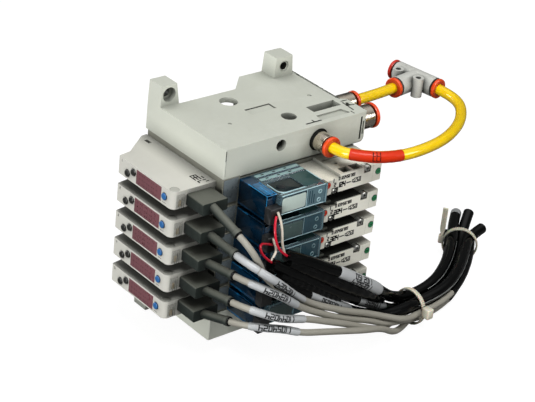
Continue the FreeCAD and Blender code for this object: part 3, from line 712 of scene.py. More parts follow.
@shared("dust", "Vector", "Color", "Dust", "Amount", "Even")
def dust(g: Graph, i: Outputs) -> dict[str, Socket]:
    """Paler colour on faces that look up, the normal's rise times the larger of a speck noise and Even: thin
    dust where only the noise is high, an even layer where Even is 1.

    Args:
        g: The group's graph.
        i: The group's inputs.

    Returns:
        The group's outputs.
    """
    upward = g.times(g.axis(g.add("ShaderNodeNewGeometry").outputs["Normal"], 2), 1.0, True)
    speck = g.ramp(g.noise(i["Vector"], 220.0, 5.0, 0.7), 0.45, 0.75, 0.0, 1.0)
    spread = g.math("MAXIMUM", speck, i["Even"])
    return {"Color": g.mix(g.times(g.times(upward, spread), i["Amount"], True), i["Color"], i["Dust"])}


@shared("recess_shade", "Color", "Reach", "Power")
def recess(g: Graph, i: Outputs) -> dict[str, Socket]:
    """Painted shade in narrow places: the open share of the view within a reach, to a power.

    Args:
        g: The group's graph.
        i: The group's inputs.

    Returns:
        The group's outputs.
    """
    view = g.add("ShaderNodeAmbientOcclusion", {"Color": (1, 1, 1, 1), "Distance": i["Reach"]}, samples=6)
    share = g.math("POWER", view.outputs["AO"], i["Power"], True)
    dark = g.mix(1.0, i["Color"], (0.05, 0.055, 0.05, 1.0), "MULTIPLY")
    return {"Color": g.mix(share, dark, i["Color"])}


@shared("streaks", "Vector", "Along", "Round")
def streaks(g: Graph, i: Outputs) -> dict[str, Socket]:
    """Long soft streaks along a drawn tube, from its own UV map."""
    x, y = (g.times(g.axis(i["Vector"], k), i[label]) for k, label in enumerate(("Along", "Round")))
    return {"Height": g.noise(g.add("ShaderNodeCombineXYZ", {0: x, 1: y}).outputs[0], 1.0, 4.0)}


# Finishes


class Finish:
    """Something that a piece is made of, with the record's slot for it. Each makes its material once."""

    name: str
    slot: str
    made: dict[str, bpy.types.Material] = {}

    def material(self) -> bpy.types.Material:
        """The finish's material, built at its first use.

        Returns:
            The material.
        """
        if self.name not in Finish.made:
            material = bpy.data.materials.new(self.name)
            g = Graph.blank(material)
            shader = g.add("ShaderNodeBsdfPrincipled", self.inputs(g))
            g.add("ShaderNodeOutputMaterial", {0: shader.outputs[0]})
            Finish.made[self.name] = material
        return Finish.made[self.name]

    def inputs(self, g: Graph) -> dict[str, object]:
        """Values and sockets for the shader's inputs."""
        raise NotImplementedError


@dataclass(frozen=True)
class Plastic(Finish):
    """Moulded plastic with drifting colour, fine grain, paler edges for wear and for painted highlight, a
    little dust and painted shade in narrow places.
    """

    name: str
    slot: str
    color: tuple[float, float, float]
    roughness: float = 0.5
    grain: float = 1400.0
    bump: float = 0.25
    mottle: float = 0.08
    wear: float = 0.0
    dust: float = 0.0
    even: float = 0.0
    coat: float = 0.0
    transmission: float = 0.0
    specular: float = 0.5
    subsurface: float = 0.0
    # Power of the painted shade in narrow places, and its reach in metres
    shade: float = 2.0
    reach: float = 0.012
    worn: tuple[float, float, float] | None = None

    def inputs(self, g: Graph) -> dict[str, object]:
        """Colour from mottle, edge wear and painted highlight, dust and painted shade; roughness from the
        mottle's mask; normal from the grain.

        Args:
            g: The material's graph.

        Returns:
            Value or socket for each named input of the shader.
        """
        at = g.add("ShaderNodeTexCoord").outputs["Object"]
        worn = linear(self.worn or tuple(c + (255 - c) * 0.35 for c in self.color))
        patch = mottle(g, Vector=at, Color=linear(self.color), Scale=45.0, Amount=self.mottle)
        color = edge_wear(g, Vector=at, Color=patch["Color"], Worn=worn, Amount=self.wear)["Color"]
        color = dust(g, Vector=at, Color=color, Dust=linear((188, 188, 172)), Amount=self.dust,
                     Even=self.even)["Color"]
        if self.shade:
            color = recess(g, Color=color, Reach=self.reach, Power=self.shade)["Color"]
        height = grain(g, Vector=at, Scale=self.grain)["Height"]
        return {"Base Color": color, "Normal": g.bump(height, 0.00003, self.bump), "IOR": 1.49,
                "Roughness": g.ramp(patch["Mask"], 0.3, 0.7, self.roughness - 0.07, self.roughness + 0.08),
                "Coat Weight": self.coat, "Coat Roughness": 0.06, "Transmission Weight": self.transmission,
                "Specular IOR Level": self.specular, "Subsurface Weight": self.subsurface,
                "Subsurface Scale": 0.002}


@dataclass(frozen=True)
class Metal(Finish):
    """Plated metal with turned marks and faint stains."""

    name: str
    slot: str
    color: tuple[float, float, float]
    roughness: float

    def inputs(self, g: Graph) -> dict[str, object]:
        """Colour and roughness drift with stains; fine cells give the turned marks.

        Args:
            g: The material's graph.

        Returns:
            Value or socket for each named input of the shader.
        """
        at = g.add("ShaderNodeTexCoord").outputs["Object"]
        patch = mottle(g, Vector=at, Color=linear(self.color), Scale=300.0, Amount=0.25)
        height = grain(g, Vector=at, Scale=2600.0)["Height"]
        return {"Base Color": patch["Color"], "Metallic": 1.0, "Normal": g.bump(height, 0.00002, 0.15),
                "Roughness": g.ramp(patch["Mask"], 0.3, 0.7, self.roughness - 0.08, self.roughness + 0.15)}


@dataclass(frozen=True)
class Jacket(Finish):
    """Jacket of a cord or hose, with drawn streaks along it."""

    name: str
    slot: str
    color: tuple[float, float, float]
    roughness: float
    coat: float = 0.0
    subsurface: float = 0.0
    mottle: float = 0.12
    bump: float = 0.25
    specular: float = 0.5

    def inputs(self, g: Graph) -> dict[str, object]:
        """Colour from mottle; roughness and bump from the streaks on the UV map.

        Args:
            g: The material's graph.

        Returns:
            Value or socket for each named input of the shader.
        """
        at = g.add("ShaderNodeTexCoord").outputs
        patch = mottle(g, Vector=at["Object"], Color=linear(self.color), Scale=120.0, Amount=self.mottle)
        height = streaks(g, Vector=at["UV"], Along=90.0, Round=900.0)["Height"]
        return {"Base Color": patch["Color"], "Normal": g.bump(height, 0.0001, self.bump), "IOR": 1.45,
                "Roughness": g.ramp(height, 0.3, 0.7, self.roughness - 0.1, self.roughness + 0.1),
                "Coat Weight": self.coat, "Coat Roughness": 0.1, "Specular IOR Level": self.specular,
                "Subsurface Weight": self.subsurface, "Subsurface Scale": 0.003,
                "Subsurface Radius": (1.0, 0.85, 0.4)}


BLOCK_GREY = Plastic("moulded_warm_grey", "body_grey", (205, 208, 196), 0.48, 1100, 0.35, 0.05, 0.25,
                     dust=0.12, shade=1.3)
# Painted shade: the station bodies take the supply block's plastic, painted darker for the shade under the
# block
STATION_GREY = Plastic("station_shade_grey", "body_grey", (150, 150, 136), wear=0.3)
STRIP_BLUE = Plastic("front_strip_blue_grey", "body_grey", (116, 126, 130), 0.3, mottle=0.14, wear=0.2,
                     coat=0.2)
SWITCH_GREY = Plastic("switch_shell_grey", "switch_grey", (208, 207, 198), 0.5, 1700, 0.3, 0.04, 0.3,
                      dust=0.1)
WINDOW = Plastic("maroon_window", "window_maroon", (118, 74, 80), 0.3, 2400, 0.2, 0.14, coat=0.3)
WINDOW_DIGIT = replace(WINDOW, name="window_unlit_digit", color=(116, 73, 79))
LIGHT_CAP = Plastic("clear_light_cap", "window_maroon", (208, 208, 198), 0.16, bump=0.05, transmission=0.25)
AMBER = Plastic("amber_light_pipe", "window_maroon", (170, 150, 112), 0.25, mottle=0.2, transmission=0.3)
# dust 0.2 with even 1.0 makes every upward face of the plugs evenly paler
PLUG_GREY = Plastic("plug_dark_grey", "dark_plastic", (33, 41, 37), 0.6, 1200, 0.4, 0.08, 0.25, dust=0.2,
                    even=1.0, specular=0.35)
CONNECTOR_BLACK = Plastic("connector_black", "dark_plastic", (24, 25, 26), 0.4, bump=0.2, wear=0.4)
# Painted highlight: the pale blue tone on the housings' edges stands in for light through the blue plastic
PILOT_BLUE = Plastic("pilot_blue", "pilot_blue", (0, 40, 68), 0.16, 500, 0.5, 1.5, 0.6, coat=0.5, shade=1.5,
                     reach=0.008, worn=(16, 110, 160))
# Painted shade on the blue housings' left sides
PILOT_SHADED_SIDE = Plastic("pilot_side_painted_shade", "pilot_blue", (0, 30, 50), 0.18, 500, 0.8, 1.9, coat=0.4,
                      shade=1.4, reach=0.008)
# Painted highlight along the blue housings' edges
PILOT_HIGHLIGHT = Plastic("pilot_edge_highlight", "pilot_blue", (24, 128, 184), 0.14, 500, 0.4, 1.4, coat=0.7,
                     shade=0.0)
# Painted light on the blue housings' tops
PILOT_TOP = Plastic("pilot_lit_top", "pilot_blue", (8, 96, 142), 0.16, 500, 0.5, 1.9, coat=0.6, shade=0.8)
# Painted highlights along the clear cases' edges, dimmer on the lower cases than on the top one
CASE_DIM_HIGHLIGHT = Plastic("case_dim_edge_highlight", "clear_case", (104, 134, 140), 0.16, 700, 0.1, 0.8, coat=0.5, shade=0.0)
CASE_HIGHLIGHT = Plastic("case_edge_highlight", "clear_case", (166, 198, 204), 0.14, 700, 0.1, 0.6, coat=0.6,
                    shade=0.0)
CASE_BAR = Plastic("case_bar_shade", "clear_case", (44, 70, 80), 0.2, 900, 0.05, 0.3, coat=0.3, shade=0.0)
# Painted light: the top case's side and window are paler copies of the lower cases' side and window, which
# are painted shade
CASE_LIT_SIDE = Plastic("case_side_painted_light", "clear_case", (104, 136, 146), 0.12, 700, 0.1, 0.4, coat=0.5,
                    transmission=0.25, shade=0.0)
CASE_CLEAR = Plastic("smoky_clear_case", "clear_case", (128, 160, 172), 0.08, 700, 0.08, 0.1, 0.6, coat=0.5,
                     transmission=0.8, shade=0.0)
CASE_DIM = Plastic("case_dim_window", "clear_case", (66, 84, 82), 0.2, 900, 0.08, 0.5, coat=0.2, shade=0.0)
CASE_PALE = Plastic("case_pale_window", "clear_case", (196, 212, 204), 0.22, 900, 0.08, 0.1, coat=0.4)
# Painted shade: a dark sheet under each clear case top, which stands in for the shaded inside of the case
CASE_INSIDE_SHADE = Plastic("case_inside_painted_shade", "clear_case", (10, 26, 30), 0.14, 900, 0.05, 0.5, specular=0.3,
                      shade=0.0)
GLASS_PANEL = Plastic("case_green_panel", "clear_case", (46, 74, 74), 0.16, 900, 0.05, 0.3, specular=0.4,
                      shade=0.0)
TEAL_STRIP = Plastic("teal_strip", "clear_case", (140, 170, 170), 0.35, mottle=0.12, wear=0.3, shade=0.6)
FILTER_WHITE = Plastic("filter_felt", "filter_white", (196, 203, 200), 0.85, 900, 0.9, 0.15)
VALVE_IVORY = Plastic("valve_ivory", "valve_ivory", (240, 238, 224), 0.5, 1500, 0.3, 0.06, 0.3, dust=0.1)
TEE_GREY = Plastic("tee_pale_grey", "valve_ivory", (206, 207, 200), 0.42, 1300, 0.3, 0.07, 0.3)
KEY_BLACK = Plastic("key_rubber", "key_black", (30, 31, 28), 0.3, bump=0.15, wear=0.8, coat=0.5)
KEY_BLUE = Plastic("set_key_blue", "key_blue", (42, 104, 166), 0.35, bump=0.15, wear=0.4, coat=0.3)
ORANGE = Plastic("override_orange", "override_orange", (222, 62, 26), 0.4, wear=0.3)
GREEN = Plastic("override_green", "override_green", (26, 122, 72), 0.4, wear=0.3)
COLLET_ORANGE = Plastic("collet_orange", "collet_orange", (240, 78, 22), 0.3, bump=0.15, mottle=0.1,
                        wear=0.4, coat=0.3, subsurface=0.2)
COLLET_RED = replace(COLLET_ORANGE, name="collet_deep_red", color=(206, 44, 22), wear=0.3, subsurface=0.0)
PRINT_BLACK = Plastic("print_black", "key_black", (12, 12, 13), 0.7, mottle=0.1, specular=0.2, shade=0.0)
STOP_GREY = Plastic("gap_stop_grey", "dark_plastic", (62, 66, 56), mottle=0.2, wear=0.3)
GROOVE_SHADE = Plastic("groove_shade", "dark_plastic", (22, 23, 20), 0.8, mottle=0.5, specular=0.1,
                       shade=0.0)
DARK_WELL = Plastic("dark_well", "dark_plastic", (3, 8, 18), 0.3, mottle=0.2, specular=0.3, shade=0.0)
LABEL_WHITE = Plastic("marker_white", "wire_white", (182, 185, 186), 0.42, 700, 0.25, 0.07, coat=0.15)
LABEL_RED = Plastic("marker_red", "wire_red", (206, 46, 6), 0.45, 700, 0.2, 0.08, coat=0.1, specular=0.25,
                    shade=0.0)
TIE_CREAM = Plastic("tie_nylon", "tie_cream", (222, 216, 196), 0.38, bump=0.2, mottle=0.06, wear=0.2,
                    subsurface=0.15)
NICKEL = Metal("plated_nickel", "nickel", (206, 196, 180), 0.2)
SCREW_STEEL = Metal("screw_steel", "nickel", (226, 226, 220), 0.34)
CABLE_GREY = Jacket("signal_jacket_grey", "cable_grey", (154, 151, 140), 0.5, bump=0.2)
CORE_GREY = Jacket("core_end_grey", "cable_grey", (150, 152, 152), 0.45, bump=0.3)
CABLE_BLACK = Jacket("solenoid_jacket_black", "cable_black", (3, 4, 4), 0.2, 0.15, mottle=0.05, bump=0.08,
                     specular=0.2)
# Painted highlight: thin pale lines along the black cables
CABLE_HIGHLIGHT = Jacket("cable_painted_highlight", "cable_black", (176, 180, 178), 0.3, mottle=0.4)
SHRINK_BLACK = Jacket("shrink_sleeve_black", "cable_black", (5, 6, 6), 0.22, 0.15, mottle=0.05, bump=0.12,
                      specular=0.2)
WIRE_RED = Jacket("wire_red", "wire_red", (196, 16, 44), 0.35, 0.2)
WIRE_WHITE = Jacket("wire_white", "wire_white", (222, 214, 198), 0.4, 0.1)
HOSE_YELLOW = Jacket("hose_yellow", "hose_yellow", (255, 212, 0), 0.24, 0.7, subsurface=0.2, mottle=0.04,
                     bump=0.05)


# Blocks, switches, valves and fittings on the CAD solids


@dataclass
class Assembly:
    """A part of the manifold whose CAD nodes are given a finish or stood for by softened copies."""

    frame: dict

    def softened(self, node: str, name: str, width: float, finish: Finish) -> Object:
        """A merged copy of a CAD node with small round edges, which stands for the node.

        Args:
            node: The CAD node.
            name: The new piece's name.
            width: Bevel width in millimetres.
            finish: What it is made of.

        Returns:
            The new piece.
        """
        source = self.frame["nodes"][node]
        mesh = source.data.copy()
        mesh.name = name
        shape = bmesh.new()
        shape.from_mesh(mesh)
        bmesh.ops.remove_doubles(shape, verts=shape.verts, dist=MERGE_DISTANCE)
        bmesh.ops.dissolve_limit(shape, angle_limit=math.radians(1.0), verts=shape.verts, edges=shape.edges,
                                 use_dissolve_boundaries=False)
        shape.to_mesh(mesh)
        shape.free()
        if mesh.has_custom_normals:
            mesh.attributes.remove(mesh.attributes["custom_normal"])
        piece = settled(mesh, name, finish, body_of(source)[0], 180.0)
        bevel = piece.modifiers.new("edges", "BEVEL")
        bevel.width = width * MM
        bevel.segments = 2
        bevel.limit_method = "ANGLE"
        bevel.angle_limit = math.radians(BEVEL_FROM)
        bevel.harden_normals = True
        bevel.use_clamp_overlap = True
        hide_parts(node)
        return piece

    def painted(self, finish: Finish, *nodes: str) -> None:
        """Give CAD nodes that are shown as they are their finish.

        Args:
            finish: What they are made of.
            nodes: The CAD nodes.
        """
        for node in nodes:
            solid = self.frame["nodes"][node]
            if not solid.material_slots:
                solid.data.materials.append(None)
            for place in solid.material_slots:
                place.material = finish.material()


@dataclass
class Stack(Assembly):
    """The supply block, end block and station bodies, with the screws and rods that hold them."""

    edge: float = 0.35
    top: tuple[float, float, float] = (0.0, 0.0, 16.5)
    front: tuple[float, float, float] = (0.0, 0.0, 0.0)
    sight_bore: tuple[float, float, float] = (82.5, 56.0, 22.5)

    def build(self) -> None:
        """Dress the moulded blocks and the metal parts, with a blue-grey strip beside each switch."""
        self.softened("supply_block", "supply_block_moulding", self.edge, BLOCK_GREY)
        self.softened("end_block", "end_block_moulding", self.edge, BLOCK_GREY)
        # Station bodies in painted shade, darker than the block
        self.softened("station_bodies", "station_mouldings", 0.2, STATION_GREY)
        stamped("front_strips", STRIP_BLUE, LEVELS,
                pad(View.FRONT, (5.4, 0.0, -7.5), (9.4, 13.4, 0.25), 0.5, 0.1))
        self.grooves()
        self.painted(NICKEL, "ejector_cartridges")
        self.painted(SCREW_STEEL, "screws_and_tie_rods")

    def grooves(self) -> None:
        """Dark shade that lies in the supply block's narrow grooves, as thin strokes along them."""
        wide = ((55.8, 3.65, 65.5, 3.65), (61.2, 3.9, 61.2, 5.6), (89.9, 14.2, 89.3, 5.2),
                (90.4, 16.0, 93.8, 15.8), (91.4, 62.4, 91.4, 57.6), (91.4, 55.8, 91.4, 52.2))
        narrow = ((91.6, 50.5, 91.6, 36.0), (91.6, 34.2, 91.6, 32.0), (91.6, 30.6, 91.6, 19.0))
        stamped("groove_shades", GROOVE_SHADE, ONCE,
                drawn(View.TOP, (0.0, 0.0, 16.1), ((37.6, 32.1, 53.7, 32.1), (53.7, 31.9, 53.7, 27.4)), 0.5),
                drawn(View.TOP, self.top, wide, 0.75),
                drawn(View.TOP, self.top, narrow, 0.4),
                drawn(View.FRONT, self.front, (91.3, 1.8, 91.3, 13.4), 0.85),
                drawn(View.FRONT, self.front, (0.75, 10.2, 0.75, 15.4), 0.45),
                drawn(View.FRONT, self.front, (1.0, 1.6, 1.0, 10.0), 0.1),
                # Painted shade: a dark lining inside the right lug's bore and a dark ring round the bore on
                # its counterbore's floor
                turned(View.FRONT, self.sight_bore, (2.24, 2.24, 2.2, 2.2), (-9.5, 0.15, 0.15, -9.5),
                       wrap=True),
                turned(View.FRONT, self.sight_bore, (2.3, 2.95, 2.95, 2.3), (0.13, 0.13, 0.16, 0.16),
                       wrap=True))


@dataclass
class Switches(Assembly):
    """Digital vacuum switches with their windows, keys, light caps, plugs and small prints."""

    left: float = -26.7
    top: float = -3.1
    front: float = 5.3

    def build(self) -> None:
        """Dress each switch and add its window, light cap, keys, light pipe and prints."""
        self.softened("switch_housings", "switch_shells", 0.3, SWITCH_GREY)
        self.softened("switch_plugs", "cable_plugs", 0.3, PLUG_GREY)
        self.windows()
        self.light_caps()
        for number in range(1, STATIONS + 1):
            self.painted(KEY_BLACK, f"up_key_{number}", f"down_key_{number}")
            self.painted(KEY_BLUE, f"set_key_{number}")
        self.light_pipes()
        self.prints()

    def windows(self) -> None:
        """Maroon windows that stand for the CAD windows, with unlit digits a shade darker in them."""
        window = stamped("display_windows", WINDOW, LEVELS,
                         pad(View.LEFT, (self.left + 0.8, 25.65, -8.1), (21.3, 8.0, 0.8), 0.25, 0.06))
        stamped("unlit_digits", WINDOW_DIGIT, LEVELS,
                drawn(View.LEFT, (self.left, 33.6, -10.6), digit_strokes("8888", 5.0, 0.3), 0.5, 0.004))
        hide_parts("display_lenses")

    def light_caps(self) -> None:
        """Clear round caps on the front corners: a shallow dome turned about its axis, in a pale ring."""
        at = (self.left + 2.9, self.front + 2.9, self.top)
        stamped("light_caps", LIGHT_CAP, LEVELS,
                turned(View.TOP, at, (2.45, 2.45, 2.3, 1.9, 1.2, 0.4), (-1.4, 0.04, 0.16, 0.2, 0.23, 0.24)))
        stamped("light_cap_rings", SWITCH_GREY, LEVELS,
                turned(View.TOP, at, (2.75, 2.75, 2.65, 2.5, 2.48), (-0.3, 0.06, 0.1, 0.1, -0.3), caps=False))

    def light_pipes(self) -> None:
        """Clear ribbed corner of each switch and the amber light guide low in it."""
        stamped("light_pipes", AMBER, LEVELS,
                pad(View.TOP, (self.left + 4.6, self.front, self.top - 8.4), (1.7, 0.3, 3.4), 0.12, 0.05))
        stamped("corner_ribs", LIGHT_CAP, LEVELS,
                *(pad(View.TOP, (self.left + 2.6 + 0.9 * rib, self.front, self.top - 8.9),
                      (0.42, 0.36, 7.0), 0.1, 0.08) for rib in range(6)))

    def prints(self) -> None:
        """Short plain bars by the keys and on top beside the plug, and each station's number."""
        bars = ((0.0, 2.6, 0.0, 7.2), (1.7, 2.6, 1.7, 7.2), (3.4, 2.6, 3.4, 7.2), (0.0, 7.2, 3.4, 7.2),
                (0.0, 4.9, 3.4, 4.9), (0.2, 0.9, 2.0, 0.9), (0.2, -0.6, 0.2, 0.9), (3.6, 0.9, 5.0, 0.9),
                (5.2, 2.6, 5.2, 4.4), (4.4, -0.9, 5.6, -0.9))
        shell = Shell()
        for number, level in enumerate(LEVELS, start=1):
            for form in (drawn(View.LEFT, (self.left, 49.6, self.top - 2.2),
                               digit_strokes(str(number), 1.3), 0.2),
                         drawn(View.LEFT, (self.left, 13.6, self.top - 8.4), (0.0, 0.0, 2.6, 0.0), 0.18),
                         drawn(View.TOP, (-8.6, 8.6, self.top), bars, 0.72),
                         drawn(View.TOP, (-4.5, 57.5, self.top - 1.2),
                               ((-0.7, -1.6, -0.7, 1.6), (0.5, -1.6, 0.5, 0.6)), 0.7)):
                form(shell, level)
        shell.piece("switch_prints", PRINT_BLACK)


@dataclass
class Modules(Assembly):
    """Filter cases, pilot housings, lead connectors and pilot valves on the front of the stations."""

    top: float = -2.0
    case_front: float = -25.6
    case_right: float = 47.2
    case_middle: float = 32.2
    valve_front: float = -22.0

    def build(self) -> None:
        """Dress the modules and add their strips, prints, painted highlights and painted shade."""
        self.softened("pilot_housings", "pilot_shells", 0.25, PILOT_BLUE)
        self.pilot_trim()
        self.softened("filter_cases", "filter_cases_clear", 0.25, CASE_CLEAR)
        self.painted(FILTER_WHITE, "filter_elements")
        self.softened("valve_bodies", "valve_mouldings", 0.2, VALVE_IVORY)
        self.softened("valve_end_caps", "valve_end_mouldings", 0.3, VALVE_IVORY)
        self.softened("lead_plugs", "lead_connectors", 0.25, CONNECTOR_BLACK)
        for number in range(1, STATIONS + 1):
            self.painted(ORANGE, f"supply_override_{number}")
            self.painted(GREEN, f"release_override_{number}")
        self.case_tops()
        self.case_fronts()
        self.valve_gaps()
        self.valve_screws()
        self.valve_prints()

    def pilot_trim(self) -> None:
        """Painted highlights as bright rods along the top blue housing's edges and dimmer ones below it, with
        each housing's left side in painted shade and its top panel in painted light.
        """
        low, high = self.top - 13.4, self.top
        # Painted highlights: bright rods along the top housing's edges, dimmer copies on the housings below
        edge_highlights = [rod(*row) for row in (((11.0, -22.0, high), (17.2, -22.0, high), 0.2),
                                      ((11.0, -22.0, high), (11.0, -7.0, high), 0.24),
                                      ((11.0, -22.0, low), (11.0, -22.0, high), 0.22),
                                      ((14.2, -21.0, high), (14.2, -12.0, high), 0.3),
                                      ((17.0, -21.6, high), (17.0, -8.0, high), 0.18))]
        stamped("pilot_edge_highlights", PILOT_HIGHLIGHT, FIRST, *edge_highlights)
        stamped("pilot_dim_edge_highlights", PILOT_BLUE, REST, *edge_highlights)
        # Painted shade on each housing's left side and painted light on its top panel
        stamped("pilot_side_shades", PILOT_SHADED_SIDE, LEVELS,
                pad(View.LEFT, (10.8, -11.2, low + 6.9), (20.6, 11.6, 0.12), 0.6, 0.05))
        stamped("pilot_top_panels", PILOT_TOP, LEVELS,
                pad(View.TOP, (14.1, -14.4, high), (4.6, 12.6, 0.06), 0.6, 0.03))

    def case_tops(self) -> None:
        """Two pale strips with small dark marks on each case's top, the dark sight well with a painted
        highlight round it, and a dark sheet under the clear top as painted shade.
        """
        rows = (-3.3, -7.3)
        marks = [(x, 0.0, x + 0.9, 0.0) for x in (-10.0, -2.5, 5.0)]
        stamped("case_strips", TEAL_STRIP, LEVELS,
                *(pad(View.TOP, (self.case_middle, y, self.top + 0.5), (28.0, 2.2, 0.22), 0.3, 0.08)
                  for y in rows))
        stamped("case_marks", PRINT_BLACK, LEVELS,
                *(drawn(View.TOP, (self.case_middle, y, self.top + 0.72), marks, 0.9) for y in rows))
        for name, finish, x, y, drop, size, corner, edge in (
                ("sight_spots", DARK_WELL, 24.4, -16.6, 0.42, (4.2, 4.2, 0.2), 2.05, 0.08),
                # Painted shade: the dark sheet under each case's clear top
                ("case_inside_shades", CASE_INSIDE_SHADE, 26.95, -16.8, 0.5, (16.3, 12.2, 0.1), 1.6, 0.04),
                ("end_panels", GLASS_PANEL, 41.35, -16.0, 0.0, (11.9, 13.6, 0.05), 0.6, 0.02),
                ("strip_gaps", PILOT_BLUE, self.case_middle, -5.3, 0.0, (28.0, 1.5, 0.3), 0.3, 0.08)):
            stamped(name, finish, LEVELS, pad(View.TOP, (x, y, self.top - drop), size, corner, edge))
        bend = np.linspace(math.pi, 1.5 * math.pi, 9)
        arc = np.array([23.4, -18.6]) + 4.0 * np.stack([np.cos(bend), np.sin(bend)], -1)
        line = np.concatenate([[[19.4, -11.6], [19.4, -15.0]], arc, [[28.0, -22.6], [34.8, -22.6]]])
        # Painted highlight: a bright wire round each sight well
        stamped("sight_highlights", CASE_HIGHLIGHT, LEVELS, wire(lifted(line, np.array(self.top - 0.3)), 0.34))

    def case_fronts(self) -> None:
        """Front window and side of each case, dark upright bars, bright rods along the edges and two round
        bosses.

        The top case catches the light, so its window, side, edge rods and bosses are painted paler than those
        below it: the rods and bosses carry painted highlights, and the lower windows and sides are painted
        shade.
        """
        front, right, low, high = self.case_front, self.case_right, self.top - 10.4, self.top
        window = pad(View.FRONT, (25.9, front, high - 5.5), (15.6, 8.2, 0.12), 1.2, 0.05)
        side = pad(View.FRONT, (41.0, front, high - 5.4), (12.2, 9.6, 0.06), 0.5, 0.03)
        edge_highlights = [rod(*row) for row in (((17.8, front, high), (right, front, high), 0.3),
                                      ((17.8, front, low), (right, front, low), 0.26),
                                      ((right, front, low), (right, front, high), 0.45),
                                      ((34.4, front, low), (34.4, front, high), 0.2),
                                      ((right, front, high), (right, -9.4, high), 0.26),
                                      ((18.6, -23.2, high), (35.2, -23.2, high), 0.16))]
        edge_highlights += [turned(View.FRONT, (x, front, high - drop), (0.75, 1.15, 1.3, 1.1, 0.85, 0.75),
                        (-0.2, -0.2, 0.2, 0.36, 0.36, 0.1), 24, wrap=True)
                 for x, drop in ((43.0, 3.4), (42.6, 8.0))]
        stamped("case_front_sides", CASE_LIT_SIDE, FIRST, side)
        stamped("case_dim_sides", CASE_BAR, REST, side)
        stamped("case_dim_edge_highlights", CASE_DIM_HIGHLIGHT, REST, *edge_highlights)
        stamped("case_dim_windows", CASE_DIM, REST, window)
        stamped("case_edge_highlights", CASE_HIGHLIGHT, FIRST, *edge_highlights)
        stamped("case_front_windows", CASE_PALE, FIRST, window)
        stamped("case_front_bars", CASE_BAR, LEVELS,
                *(pad(View.TOP, (x, front - 0.1, high - 9.0), (0.55, 0.3, tall), 0.12, 0.08)
                  for x, tall in ((36.2, 7.4), (37.8, 7.4), (39.2, 5.0))))

    def valve_gaps(self) -> None:
        """Painted shade: a dark sheet in the gap over each valve but the first, with the grey-green stop at
        its left.
        """
        stamped("valve_gap_shades", GROOVE_SHADE, REST,
                pad(View.TOP, (65.6, -12.2, self.top), (22.6, 18.4, 0.12), 0.5, 0.05))
        stamped("valve_gap_stops", STOP_GREY, REST,
                pad(View.TOP, (54.6, -17.4, self.top), (3.6, 6.4, 1.5), 0.4, 0.3))

    def valve_screws(self) -> None:
        """Bright cross-head screws: a domed ring with a dark cross, two on each valve's front."""
        screws = ((78.3, -3.0, 1.75), (56.4, -10.8, 1.35))
        dome, heights = np.array([1.0, 1.0, 0.86, 0.5, 0.02]), (-0.8, 0.05, 0.32, 0.42, 0.42)
        cross = 0.6 * np.array([(-1, 0, 1, 0), (0, -1, 0, 1)])
        stamped("valve_screw_heads", SCREW_STEEL, LEVELS,
                *(turned(View.FRONT, (x, self.valve_front + 0.1, z), radius * dome, heights, 24)
                  for x, z, radius in screws))
        stamped("valve_screw_crosses", GROOVE_SHADE, LEVELS,
                *(drawn(View.FRONT, (x, self.valve_front - 0.32, z), radius * cross, 0.42)
                  for x, z, radius in screws))

    def valve_prints(self) -> None:
        """Each valve's station number, plain digits and the usual two-position valve drawing."""
        shell = Shell()
        for number, level in enumerate(LEVELS, start=1):
            for strokes, shift, width in ((digit_strokes("1", 1.9), (0.0, 0.0), 0.5),
                                          (digit_strokes("2", 1.9), (1.6, -2.6), 0.5),
                                          (digit_strokes("0123456789", 1.5, 0.25), (4.4, 0.5), 0.42),
                                          (digit_strokes(f"{number}24", 2.3, 0.26, 0.56), (4.0, -3.7), 0.72),
                                          (np.array([[[10.2, -2.6], [12.9, -2.6]]]), (0.0, 0.0), 0.6),
                                          (2.3 * VALVE_SYMBOL, (15.2, -3.6), 0.46)):
                drawn(View.FRONT, (54.4, self.valve_front, -5.4), strokes + shift, width)(shell, level)
        shell.piece("valve_prints", PRINT_BLACK)


# Cords and what is on them


